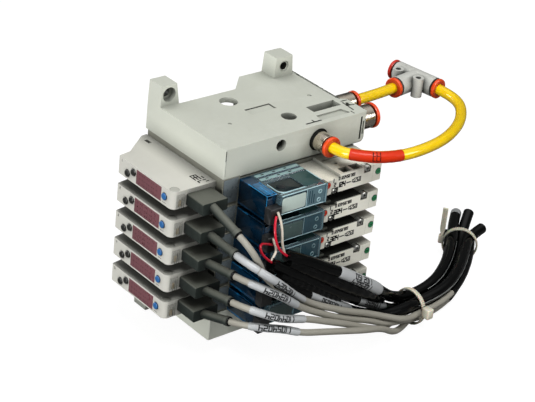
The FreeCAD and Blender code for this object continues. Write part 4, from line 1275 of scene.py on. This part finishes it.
@dataclass
class Strand:
    """One cord: its route's control points in part millimetres, its size, length, stiffness and far end."""

    name: str
    route: Sequence[Point]
    diameter: float
    finish: Finish
    length: float = 0.0
    stiffness: Stiffness = Stiffness.LIMP
    far_end: FarEnd = FarEnd.BARE
    around: int = 20
    path: Array | None = None
    carried: list[Object | str] = field(default_factory=list)

    def centre_line(self) -> Array:
        """Points read from a NURBS spline whose control points are the route.

        Returns:
            Points in metres, shape (n, 3).
        """
        if self.path is None:
            curve = bpy.data.curves.new(self.name + "_line", "CURVE")
            curve.dimensions = "3D"
            curve.resolution_u = 10
            spline = curve.splines.new("NURBS")
            spline.points.add(len(self.route) - 1)
            values = np.column_stack([np.array(self.route, float) * MM, np.ones(len(self.route))])
            spline.points.foreach_set("co", values.astype(np.float32).ravel())
            spline.order_u = 3
            spline.use_endpoint_u = True
            carrier = bpy.data.objects.new(self.name + "_line", curve)
            mesh = bpy.data.meshes.new_from_object(carrier)
            line = np.empty(len(mesh.vertices) * 3, np.float32)
            mesh.vertices.foreach_get("co", line)
            self.path = line.reshape(-1, 3).astype(float)
            bpy.data.meshes.remove(mesh)
            bpy.data.objects.remove(carrier)
            bpy.data.curves.remove(curve)
        return self.path

    def build(self, in_cad: bool = True) -> Object:
        """The cord as a round tube round its centre line.

        Args:
            in_cad: Whether it stands for a CAD solid.

        Returns:
            The new piece.
        """
        path = self.centre_line()
        shell = Shell().add(tube(path, self.diameter / 2 * MM, self.around), run=distance_along(path))
        piece = shell.piece(self.name + "_jacket", self.finish)
        if in_cad:
            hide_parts(self.name)
        return piece

    def carry(self, shell: Shell, name: str, finish: Finish) -> None:
        """Make a shell a piece that goes with the cord."""
        self.carried.append(shell.piece(name, finish))

    def declare(self) -> None:
        """Build the cord."""
        path = self.centre_line()
        self.build()

    def line(self, start: float, end: float, radius: float, steps: int, width: float, lift: float, aim: Array,
             roll: float = 0.0) -> Shell:
        """Thin line along the cord, on the side that looks to `aim` or turned from it.

        Args:
            start: Distance along the cord where it begins, in millimetres.
            end: Distance where it ends.
            radius: Radius of the surface that it lies on.
            steps: Strokes that it is made of.
            width: Its width.
            lift: How far it stands off the surface.
            aim: Direction that it looks in.
            roll: Further turn round the cord in radians.

        Returns:
            The line's shell.
        """
        path, middle = self.centre_line(), (start + end) / 2
        cuts = np.linspace(start - middle, end - middle, steps + 1)
        strokes = np.stack([np.stack([cuts[:-1], cuts[1:]], -1), np.zeros((steps, 2))], -1)
        place = wrapped(path, radius, middle, turn_to(path, middle, aim)[0] + roll)
        return add_strokes(Shell(), strokes, width, lift, place)


@dataclass
class Marker:
    """A sleeve on a cord, with rows of plain digits where it carries numbers."""

    strand: Strand
    start: float
    end: float
    radius: float
    finish: Finish
    rows: tuple[str, ...] = ()
    height: float = 2.8
    draw_in: float = 0.07

    def build(self, name: str) -> None:
        """Make the sleeve and its digits, which go with the cord.

        The sleeve's radius is the given one less a small draw-in at both ends, plus faint creases
        sin(40 s) that a shrunk sleeve has. The digits look to the reading side. A row's up is
        sin a side - cos a rise; where that looks up already the digits are turned by half a turn.

        Args:
            name: Name of the sleeve piece.
        """
        path, middle = self.strand.centre_line(), (self.start + self.end) / 2
        steps = max(16, int((self.end - self.start) / 0.8))
        line = part_of(path, self.start, self.end, steps)
        share = np.linspace(0, 1, steps)
        ends = np.exp(-share * 30) + np.exp(-(1 - share) * 30)
        radius = (self.radius * (1 - self.draw_in * ends) + 0.03 * np.sin(40 * share)) * MM
        self.strand.carry(Shell().add(tube(line, radius), run=distance_along(line)), name, self.finish)
        if not self.rows:
            return
        turn, side, rise = turn_to(path, middle, READING_SIDE)
        sign = -1.0 if (math.sin(turn) * side - math.cos(turn) * rise) @ READING_UP > 0 else 1.0
        printed = Shell()
        place = wrapped(path, self.radius + 0.06, middle, turn)
        for row, text in enumerate(self.rows):
            strokes = digit_strokes(text, self.height, 0.32, 0.52)
            centre = np.array([strokes[:, :, 0].max() / 2, self.height / 2])
            offset = np.array([0.0, ((len(self.rows) - 1) / 2 - row) * self.height * 1.3])
            add_strokes(printed, sign * (strokes - centre + offset), self.height * 0.18, PRINT_LIFT, place)
        self.strand.carry(printed, name + "_number", PRINT_BLACK)


@dataclass
class Tie:
    """Toothed nylon band with its ratchet head and, where it is left long, its cut tail.

    Its own axes are along the cables, across them and up, from its foot on the floor.
    """

    foot: tuple[float, float]
    heading: float
    head: tuple[float, float, float]
    side: int
    gap: float
    tail: float = 0.0
    bore: float = 9.6
    thick: float = 1.1
    wide: float = 2.6
    tooth: float = 0.12

    def place(self, p: Array) -> Array:
        """The tie's own millimetres as part metres.

        Args:
            p: Points, last axis along the cables, across them and up.

        Returns:
            The points in metres.
        """
        cos, sin = math.cos(math.radians(self.heading)), math.sin(math.radians(self.heading))
        turn = np.array([[cos, sin, 0.0], [-sin, cos, 0.0], [0.0, 0.0, 1.0]])
        return (np.array([*self.foot, FLOOR_Z + 0.05]) + p @ turn) * MM

    def build(self, name: str) -> Object:
        """The band, its head and its tail as one piece.

        The band is a rounded rectangle carried round a circle of the tie's bore; on its outer face
        the height swings with the angle, which makes the ladder of teeth.

        Args:
            name: The piece's name.

        Returns:
            The new piece.
        """
        angle = np.linspace(0, FULL_TURN, 240, endpoint=False)[:, None]
        across, along = rounded_rectangle(self.thick, self.wide, 0.3, 4).T
        ladder = np.where(across > 0.2, self.tooth + self.tooth * np.cos(angle * 60), 0.0)
        radial = self.bore + self.thick / 2 + across - ladder
        middle, shift = self.bore + self.thick, self.side * (self.bore + self.thick + self.gap)
        band = np.stack([np.broadcast_to(along, radial.shape), radial * np.cos(angle),
                         middle + radial * np.sin(angle)], -1)
        shell = Shell().add(self.place(band[::-1]), wrap=True)
        shell.add(block(self.head, 0.8, 0.7, lambda p: self.place(p + [0.0, shift, middle - 1])))
        if self.tail:
            shell.add(self.place(self.tail_grid() + [0.0, shift, middle + 3.6]))
        return shell.piece(name, TIE_CREAM)

    def tail_grid(self) -> Array:
        """Cut tail: its toothed rectangle carried upwards, with a quarter twist low down.

        Returns:
            Grid in the tie's own millimetres.
        """
        rise = np.linspace(0, self.tail, 90)[:, None]
        x, y = rounded_rectangle(self.wide * 1.2, self.thick, 0.3, 4).T
        y = np.where(y > 0.1, y - self.tooth + self.tooth * np.cos(rise * 6.0), y)
        twist = math.radians(80) * np.clip(rise / 5.0, 0, 1)
        cos, sin = np.cos(twist), np.sin(twist)
        return np.stack([x * cos - y * sin, x * sin + y * cos, np.broadcast_to(rise, y.shape)], -1)


# Direction of each strain relief from its root, and its root's height
SLEEVE_AIMS = [((2.2, -18.7, -7.3), -8.75), ((0.7, -18.7, -1.2), -24.75), ((0.9, -18.7, 2.5), -40.75),
               ((0.8, -18.7, 3.2), -56.75), ((1.3, -18.2, 5.2), -70.75)]
SLEEVE_ROOT = (-11.5, -8.3)
SLEEVE_LENGTH = 19.5
EXIT_RUN = 6.0
# Length and route of each cable, first station first
SIGNALS = [
    (263.0, [
        (-50.6, -102.2, 16.9), (-47.1, -103.7, 10.2), (-43, -101.1, 4.5), (-39, -99, -1),
        (-31.5, -97, -8.5), (-18.5, -96, -20), (-4.5, -96.5, -31), (10, -97.5, -40.5), (25, -97.5, -49),
        (41.5, -95, -54), (58, -90, -57.5), (75, -88, -59), (88, -87, -59), (102, -83.5, -59),
        (117.5, -75, -59), (132, -65, -59), (144.5, -54, -59), (155.5, -41.5, -59)]),
    (267.0, [
        (-51.6, -106.2, 10.8), (-46.4, -110.5, 6.8), (-38.5, -111.2, 0.5), (-27.5, -109.3, -9.7),
        (-14, -107.5, -19.9), (0.5, -108, -27.2), (15, -107.5, -34.2), (30, -106, -40.8),
        (45, -106.3, -47.8), (60, -107.3, -54.2), (76, -102, -57.5), (90.5, -101, -57.5),
        (107.5, -96, -57.5), (125, -86.5, -57.5), (140.5, -75.5, -57.5), (154, -64, -58),
        (166, -52.5, -58)]),
    (271.4, [
        (-51.1, -106.2, 1.3), (-45.1, -110.8, -1.6), (-36.5, -112.4, -7), (-22, -110.5, -18.6),
        (-9, -109.5, -26.3), (4.5, -108.5, -33.7), (18.5, -107, -40.2), (32.6, -106.2, -46.2),
        (46.4, -106, -53), (61, -103, -57.3), (75.5, -100.5, -62), (90.5, -99, -62.5), (107, -94.5, -62),
        (124, -85, -62), (139, -74.5, -62), (153, -62.5, -62.5), (164.5, -50.5, -62), (170, -43.5, -62)]),
    (260.3, [
        (-51.2, -106.1, -13.3), (-45.1, -111, -15.4), (-36.7, -113.3, -19.1), (-20.5, -113, -24.2),
        (-4.5, -112.5, -31.4), (11.5, -111.3, -38.8), (27.3, -109, -47.4), (42.9, -105.1, -55.8),
        (58.8, -98.4, -60.4), (75, -91, -63), (88.5, -90, -63.5), (103, -86, -63), (119, -77.5, -63),
        (133.5, -67, -63), (146.5, -56, -63), (157.5, -44.5, -63), (162.5, -38, -63)]),
    (252.8, [
        (-50.1, -105.2, -23.4), (-43.6, -110, -24), (-34.3, -112.9, -26.1), (-24, -115, -30.5),
        (-9, -115.5, -34.5), (7, -115.1, -39.5), (23, -113.8, -45), (39.1, -110.2, -51),
        (50.5, -107.8, -58.8), (62.5, -102.2, -63.3), (75.5, -96, -64), (89.5, -94.5, -64),
        (105, -90.5, -64), (121.5, -81.5, -64), (136.5, -71, -64), (149.5, -59.5, -64), (161, -47, -64)]),
]
SOLENOIDS = [
    (233.6, [
        (-26.5, -99.5, 8), (-14, -101, 2), (-1, -102, -5.5), (13, -102, -13.5), (25.5, -102, -21.5),
        (37.5, -101, -29.2), (49, -98.1, -38.5), (62, -92.2, -48.3), (75, -90.5, -53), (88.5, -89.5, -53.5),
        (103, -85.5, -53.5), (118.5, -77, -53.5), (133, -66.5, -53.5), (146, -55.5, -53.5),
        (157.5, -44, -53.5), (170, -34, -53.5)]),
    (249.0, [
        (-37.5, -101, 7), (-26.5, -101.5, -0.2), (-14, -101.6, -7.7), (-1.1, -101.9, -16.8),
        (13.8, -101.4, -26.4), (28.8, -99.8, -35.5), (43.8, -95.3, -44.2), (58.2, -94.7, -54),
        (75.5, -95, -58.5), (89.5, -94, -58.5), (105, -90, -58.5), (121.5, -81, -58.5), (136, -70.5, -58.5),
        (149.5, -59, -58.5), (162, -48, -57), (175, -39.5, -52)]),
    (225.8, [
        (-33.5, -103.5, -4), (-22.8, -103.7, -11.2), (-11.2, -103.1, -18.2), (2.1, -102.6, -26.9),
        (15.7, -102.1, -35.4), (29.3, -100.9, -43.5), (44.1, -101.1, -49.6), (60, -101.7, -51.3),
        (75.5, -99, -52.5), (90, -98, -52.5), (106.5, -93.5, -52.5), (124, -83.6, -52.5),
        (142, -70.1, -52.6), (154, -60.3, -53), (168.3, -57.4, -52.1)]),
]
# Name, finish and route of each lead; the first two stand for CAD nodes
LEADS = [
    ("lead_wire_red", WIRE_RED, [(-30.7, -93.65, 28.5), (-32.5, -95.2, 25.5), (-33.7, -97.4, 21.2),
                                 (-33.3, -98.9, 16.1), (-30.8, -99.8, 11.4), (-26.7, -100.43, 8.1)]),
    ("lead_wire_white", WIRE_WHITE, [(-30, -93.7, 30.6), (-28.7, -94.6, 27.3), (-27.8, -95.8, 21.6),
                                     (-27.9, -96.7, 16.9), (-28, -97.7, 12.3), (-26.75, -98.4, 8.75)]),
    ("second_lead_red", WIRE_RED, [(-30.9, -93, 11.9), (-36.2, -95, 15), (-42, -97, 17.7),
                                   (-44.1, -99, 16.5), (-42.1, -100, 11.8), (-37.5, -101.2, 8)]),
    ("second_lead_white", WIRE_WHITE, [(-30.7, -93, 15.3), (-31.3, -95.5, 13.8), (-32, -98, 11.3),
                                       (-35, -99.5, 9.4), (-37.3, -100.4, 7.6)]),
]
LOOP_ROUTE = [(161.8, -3.2, 7.8), (151, -15.8, 7.8), (137.5, -25.5, 7.8), (121, -32.6, 7.8),
              (104.5, -35.4, 7.8), (89.5, -35.4, 7.8), (76.5, -31.2, 7.8), (67.2, -23.2, 7.8)]
TIES = (Tie((75.4, -95.0), 3.0, (4.6, 5.4, 6.0), -1, 1.9),
        Tie((149.2, -58.8), 41.0, (3.2, 3.4, 5.4), 1, 0.5, 18.4))


@dataclass
class Harness:
    """Signal cables, solenoid cables, leads, markers, sleeves and the two ties."""

    signal_d: float = 3.5
    solenoid_d: float = 6.4
    lead_d: float = 1.3

    def build(self) -> None:
        signals = [self.signal(index) for index in range(STATIONS)]
        solenoids = [Strand(f"solenoid_cable_{number}", route, self.solenoid_d, CABLE_BLACK, length,
                            Stiffness.MEDIUM) for number, (length, route) in enumerate(SOLENOIDS, start=1)]
        self.markers(signals, solenoids)
        self.trim(signals, solenoids)
        ties = [tie.build(f"cable_tie_{number}") for number, tie in enumerate(TIES, start=1)]
        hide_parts("cable_ties")
        solenoids[1].carried += ties
        for strand in signals + solenoids:
            strand.declare()
        for index, (name, finish, route) in enumerate(LEADS):
            Strand(name, route, self.lead_d, finish, around=14).build(in_cad=index < 2)

    def signal(self, index: int) -> Strand:
        """Grey cable of one station, from the end of its strain relief on.

        Args:
            index: The station, from 0.

        Returns:
            The cable.
        """
        aim, height = SLEEVE_AIMS[index]
        unit = np.array(aim) / np.linalg.norm(aim)
        leaves = np.array([*SLEEVE_ROOT, height]) - PART_ORIGIN + unit * SLEEVE_LENGTH
        length, route = SIGNALS[index]
        return Strand(f"signal_cable_{index + 1}", [leaves, leaves + unit * EXIT_RUN, *route], self.signal_d,
                      CABLE_GREY, length)

    def markers(self, signals: list[Strand], solenoids: list[Strand]) -> None:
        """White sleeves near the plugs, with numbers on all but one.

        Args:
            signals: The grey cables.
            solenoids: The black cables.
        """
        for index, (start, end) in enumerate(((15.0, 56.0), (10.0, 44.0), (12.0, 46.0), (12.0, 40.0)),
                                             start=1):
            Marker(signals[index], start, end, 2.12, LABEL_WHITE, (f"110{index + 1}4024",)
                   ).build(f"signal_marker_{index + 1}")
        Marker(signals[1], 0.2, 14.6, 2.05, LABEL_WHITE).build("signal_marker_2_plain")
        for index, (start, end, rows) in enumerate((
                (39.7, 80.7, ("11026024", "1102150")), (76.8, 107.4, ("11046050",)),
                (25.6, 62.7, ("11026050",)))):
            Marker(solenoids[index], start, end, 3.5, LABEL_WHITE, rows, 2.9
                   ).build(f"solenoid_marker_{index + 1}")

    def trim(self, signals: list[Strand], solenoids: list[Strand]) -> None:
        """Dark rings at the plugs, wraps between the black cables, pale lines on them as painted highlights,
        and the cut ends.

        Args:
            signals: The grey cables.
            solenoids: The black cables.
        """
        for index in (0, 2, 3, 4):
            Marker(signals[index], 0.0, 1.0, 2.1, SHRINK_BLACK, draw_in=0.02).build(f"exit_ring_{index + 1}")
        for number, (start, end, radius) in enumerate(((7.0, 98.0, 3.9), (4.0, 56.0, 3.2)), start=1):
            upper, lower = solenoids[number - 1:number + 1]
            lower.carry(self.wrap(upper, lower, start, end, radius), f"solenoid_wrap_{number}", SHRINK_BLACK)
        # Painted highlights: a thin pale line along each black cable
        for number, (start, end, roll) in enumerate((
                (136.0, 196.0, 0.75), (140.0, 206.0, 0.5), (120.0, 190.0, 0.9)), start=1):
            cable = solenoids[number - 1]
            line = cable.line(start, end, self.solenoid_d / 2, 60, 0.5, 0.06, READING_SIDE, roll)
            cable.carry(line, f"solenoid_line_{number}", CABLE_HIGHLIGHT)
        run = distance_along(solenoids[0].centre_line())[-1] / MM
        Marker(solenoids[0], run - 4.6, run, 3.26, CORE_GREY, draw_in=0.02).build("solenoid_end_1")
        for strand, covered in zip(signals, (104.0, 74.0, 84.0, 104.0, 104.0)):
            run = distance_along(strand.centre_line())[-1] / MM
            Marker(strand, run - covered, run, 2.05, SHRINK_BLACK).build(strand.name + "_sleeve")

    def wrap(self, upper: Strand, lower: Strand, start: float, end: float, radius: float) -> Shell:
        """Black sleeve that fills the gap between two cables, midway between their centre lines.

        The radius swells as R (0.72 + 0.28 sin(pi t)) and creases by 0.08 sin(70 t), t from 0 to 1.

        Args:
            upper: One cable.
            lower: The other cable.
            start: Distance along both where it begins, in millimetres.
            end: Distance where it ends.
            radius: Greatest radius R.

        Returns:
            The sleeve's shell.
        """
        lines = [part_of(strand.centre_line(), start, end, 90) for strand in (upper, lower)]
        path = (lines[0] + lines[1]) / 2
        share = np.linspace(0, 1, 90)
        width = radius * (0.72 + 0.28 * np.sin(math.pi * share)) + 0.08 * np.sin(70 * share)
        return Shell().add(tube(path, width * MM), run=distance_along(path))


@dataclass
class AirLine(Assembly):
    """Fittings, release collets, the tee and the two lengths of hose."""

    tube_d: float = 6.0
    tee_centre: tuple[float, float, float] = (161.4, 31.4, 7.8)
    tee_yaw: float = 8.0
    tee_half_run: float = 13.4
    tee_branch: float = 17.6
    small_mouth: tuple[float, float, float] = (107.7, 26.6, 7.8)
    front_mouth: tuple[float, float, float] = (62.0, -8.0, 7.8)
    hidden: float = 6.0

    def build(self) -> None:
        """Dress the fittings, shade the gap round the front port and lay the hoses."""
        self.softened("fitting_bodies", "fitting_shells", 0.25, NICKEL)
        self.softened("tee_body", "tee_moulding", 0.3, TEE_GREY)
        self.painted(COLLET_ORANGE, "front_collet", "small_collet", "large_collet", "tee_branch_collet",
                     "tee_front_collet")
        self.painted(COLLET_RED, "tee_rear_collet")
        port = (self.front_mouth[0], 0.3, self.front_mouth[2])
        # Painted shade in the gap round the front port, and a painted dark reflection on the fitting's base
        stamped("port_gap_shade", GROOVE_SHADE, ONCE,
                turned(View.FRONT, port, (5.33, 6.17, 6.17, 5.33), (-0.2, -0.2, 0.0, 0.0), wrap=True),
                turned(View.FRONT, port, (5.32, 5.36, 5.36, 5.32), (-0.1, -0.1, 2.0, 2.0), wrap=True))
        self.hoses()

    def hoses(self) -> None:
        """The short hose into the tee and the loop from the tee to the front fitting."""
        yaw = math.radians(self.tee_yaw)
        branch = np.array([-math.cos(yaw), -math.sin(yaw), 0.0])
        front = np.array([math.sin(yaw), -math.cos(yaw), 0.0])
        entry = self.tee_centre + branch * self.tee_branch
        mouth = self.tee_centre + front * self.tee_half_run
        small, port = np.array(self.small_mouth), np.array(self.front_mouth)
        routes = ([small - [self.hidden, 0, 0], small + [9, 0, 0], entry + branch * 9,
                   entry - branch * self.hidden],
                  [mouth - front * self.hidden, mouth + front * 6, *map(np.array, LOOP_ROUTE),
                   port + [0, -7, 0], port + [0, self.hidden, 0]])
        short, loop = (Strand(name, [p - PART_ORIGIN for p in route], self.tube_d, HOSE_YELLOW, length,
                              Stiffness.MEDIUM, far_end)
                       for name, route, length, far_end in (("hose_short", routes[0], 48.4, FarEnd.FITTING),
                                                            ("hose_loop", routes[1], 160.0, FarEnd.OBJECT)))
        start, end, radius = 110.5, 138.3, 3.15
        Marker(loop, start, end, radius, LABEL_RED, ("177", "177"), 2.1, 0.03).build("hose_marker")
        seam = loop.line(start, end, radius + 0.03, 24, 0.45, 0.05, 0.3 * READING_SIDE + 0.95 * READING_UP)
        loop.carry(seam, "hose_marker_seam", HOSE_YELLOW)
        short.carried += ["tee_moulding", "tee_branch_collet", "tee_front_collet", "tee_rear_collet"]
        short.declare()
        loop.declare()


# Studio


@dataclass
class Studio:
    """Pale floor, soft light and the camera at the photograph's angle."""

    position: tuple[float, float, float] = (-563.3, -675.2, 460.6)
    right: tuple[float, float, float] = (0.77195, -0.62848, 0.09542)
    up: tuple[float, float, float] = (0.23524, 0.42188, 0.87560)
    forward: tuple[float, float, float] = (0.59055, 0.65347, -0.47351)
    lens: float = 121.87
    world: float = 0.05
    floor_half: float = 6.0
    middle: tuple[float, float, float] = (0.02, -0.05, 0.0)

    def build(self) -> None:
        """Make the floor, the lamps, the world and the camera."""
        self.floor()
        self.light("key", (-0.35, -0.55, 1.15), 0.5, 13.0)
        self.light("left", (-1.35, -0.5, 0.22), 0.4, 12.0)
        self.light("front", (0.75, -1.15, 0.6), 0.5, 5.5)
        self.light("back", (-0.6, 1.3, 0.26), 0.6, 8.0)
        self.sky()
        self.camera()

    def seen(self, g: Graph, rays: Outputs) -> Socket:
        """1 where the camera or clear plastic looks, else 0."""
        return g.math("MAXIMUM", rays["Is Camera Ray"], rays["Is Transmission Ray"])

    def floor(self) -> None:
        """A wide flat sheet under the object: near white where it is seen, dark where light bounces."""
        z = FLOOR_Z * MM - 0.0002
        mesh = bpy.data.meshes.new("floor")
        corners = [(x * self.floor_half, y * self.floor_half, z)
                   for x, y in ((-1, -1), (1, -1), (1, 1), (-1, 1))]
        mesh.from_pydata(corners, [], [(0, 1, 2, 3)])
        material = bpy.data.materials.new("floor_pale")
        g = Graph.blank(material)
        soft = g.add("ShaderNodeBsdfDiffuse", {"Color": (0.16, 0.16, 0.16, 1.0)})
        strength = g.times(self.seen(g, g.add("ShaderNodeLightPath").outputs), 0.94)
        glow = g.add("ShaderNodeEmission", {"Color": (1, 1, 1, 1), "Strength": strength})
        both = g.add("ShaderNodeAddShader", {0: soft.outputs[0], 1: glow.outputs[0]})
        g.add("ShaderNodeOutputMaterial", {0: both.outputs[0]})
        mesh.materials.append(material)
        floor = bpy.data.objects.new("floor", mesh)
        bpy.context.scene.collection.objects.link(floor)

    def light(self, name: str, place: Point, size: float, power: float) -> None:
        """A square soft lamp that looks at the object's middle.

        Args:
            name: The lamp's name.
            place: Where it stands, in metres.
            size: Its side in metres.
            power: Its power in watts.
        """
        lamp = bpy.data.lights.new(name, "AREA")
        lamp.size = size
        lamp.energy = power
        lit = bpy.data.objects.new(name, lamp)
        lit.location = place
        lit.rotation_euler = (Vector(self.middle) - Vector(place)).to_track_quat("-Z", "Y").to_euler()
        bpy.context.scene.collection.objects.link(lit)

    def sky(self) -> None:
        """Even world light, brighter overhead in gloss, white where the camera or clear plastic looks."""
        world = bpy.data.worlds.new("studio")
        bpy.context.scene.world = world
        g = Graph.blank(world)
        rays = g.add("ShaderNodeLightPath").outputs
        above = g.ramp(g.axis(g.add("ShaderNodeTexCoord").outputs["Generated"], 2), 0.55, 1.0, 0.04, 1.3)
        strength = g.plus(g.times(rays["Is Glossy Ray"], above), self.world)
        lit, white = (g.add("ShaderNodeBackground", {"Color": (1, 1, 1, 1), "Strength": value}).outputs[0]
                      for value in (strength, 1.0))
        both = g.add("ShaderNodeMixShader", {0: self.seen(g, rays), 1: lit, 2: white})
        g.add("ShaderNodeOutputWorld", {0: both.outputs[0]})

    def camera(self) -> None:
        """Camera at the photograph's place, from its three axes."""
        data = bpy.data.cameras.new("camera")
        data.lens = self.lens
        data.sensor_width = 36.0
        data.clip_start, data.clip_end = 0.05, 50.0
        camera = bpy.data.objects.new("camera", data)
        turn = Matrix((self.right, self.up, [-v for v in self.forward])).transposed().to_4x4()
        camera.matrix_world = Matrix.Translation(Vector(self.position) * MM) @ turn
        bpy.context.scene.collection.objects.link(camera)
        bpy.context.scene.camera = camera


def main() -> None:
    """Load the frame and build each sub-assembly in order."""
    logging.basicConfig(level=logging.INFO, format="%(name)s %(message)s")
    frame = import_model()
    scene = bpy.context.scene
    scene.view_settings.view_transform = "Standard"
    for assembly in (Stack(frame), Switches(frame), Modules(frame), AirLine(frame), Harness(), Studio()):
        LOG.info("building %s", type(assembly).__name__)
        assembly.build()


if __name__ == "__main__":
    main()
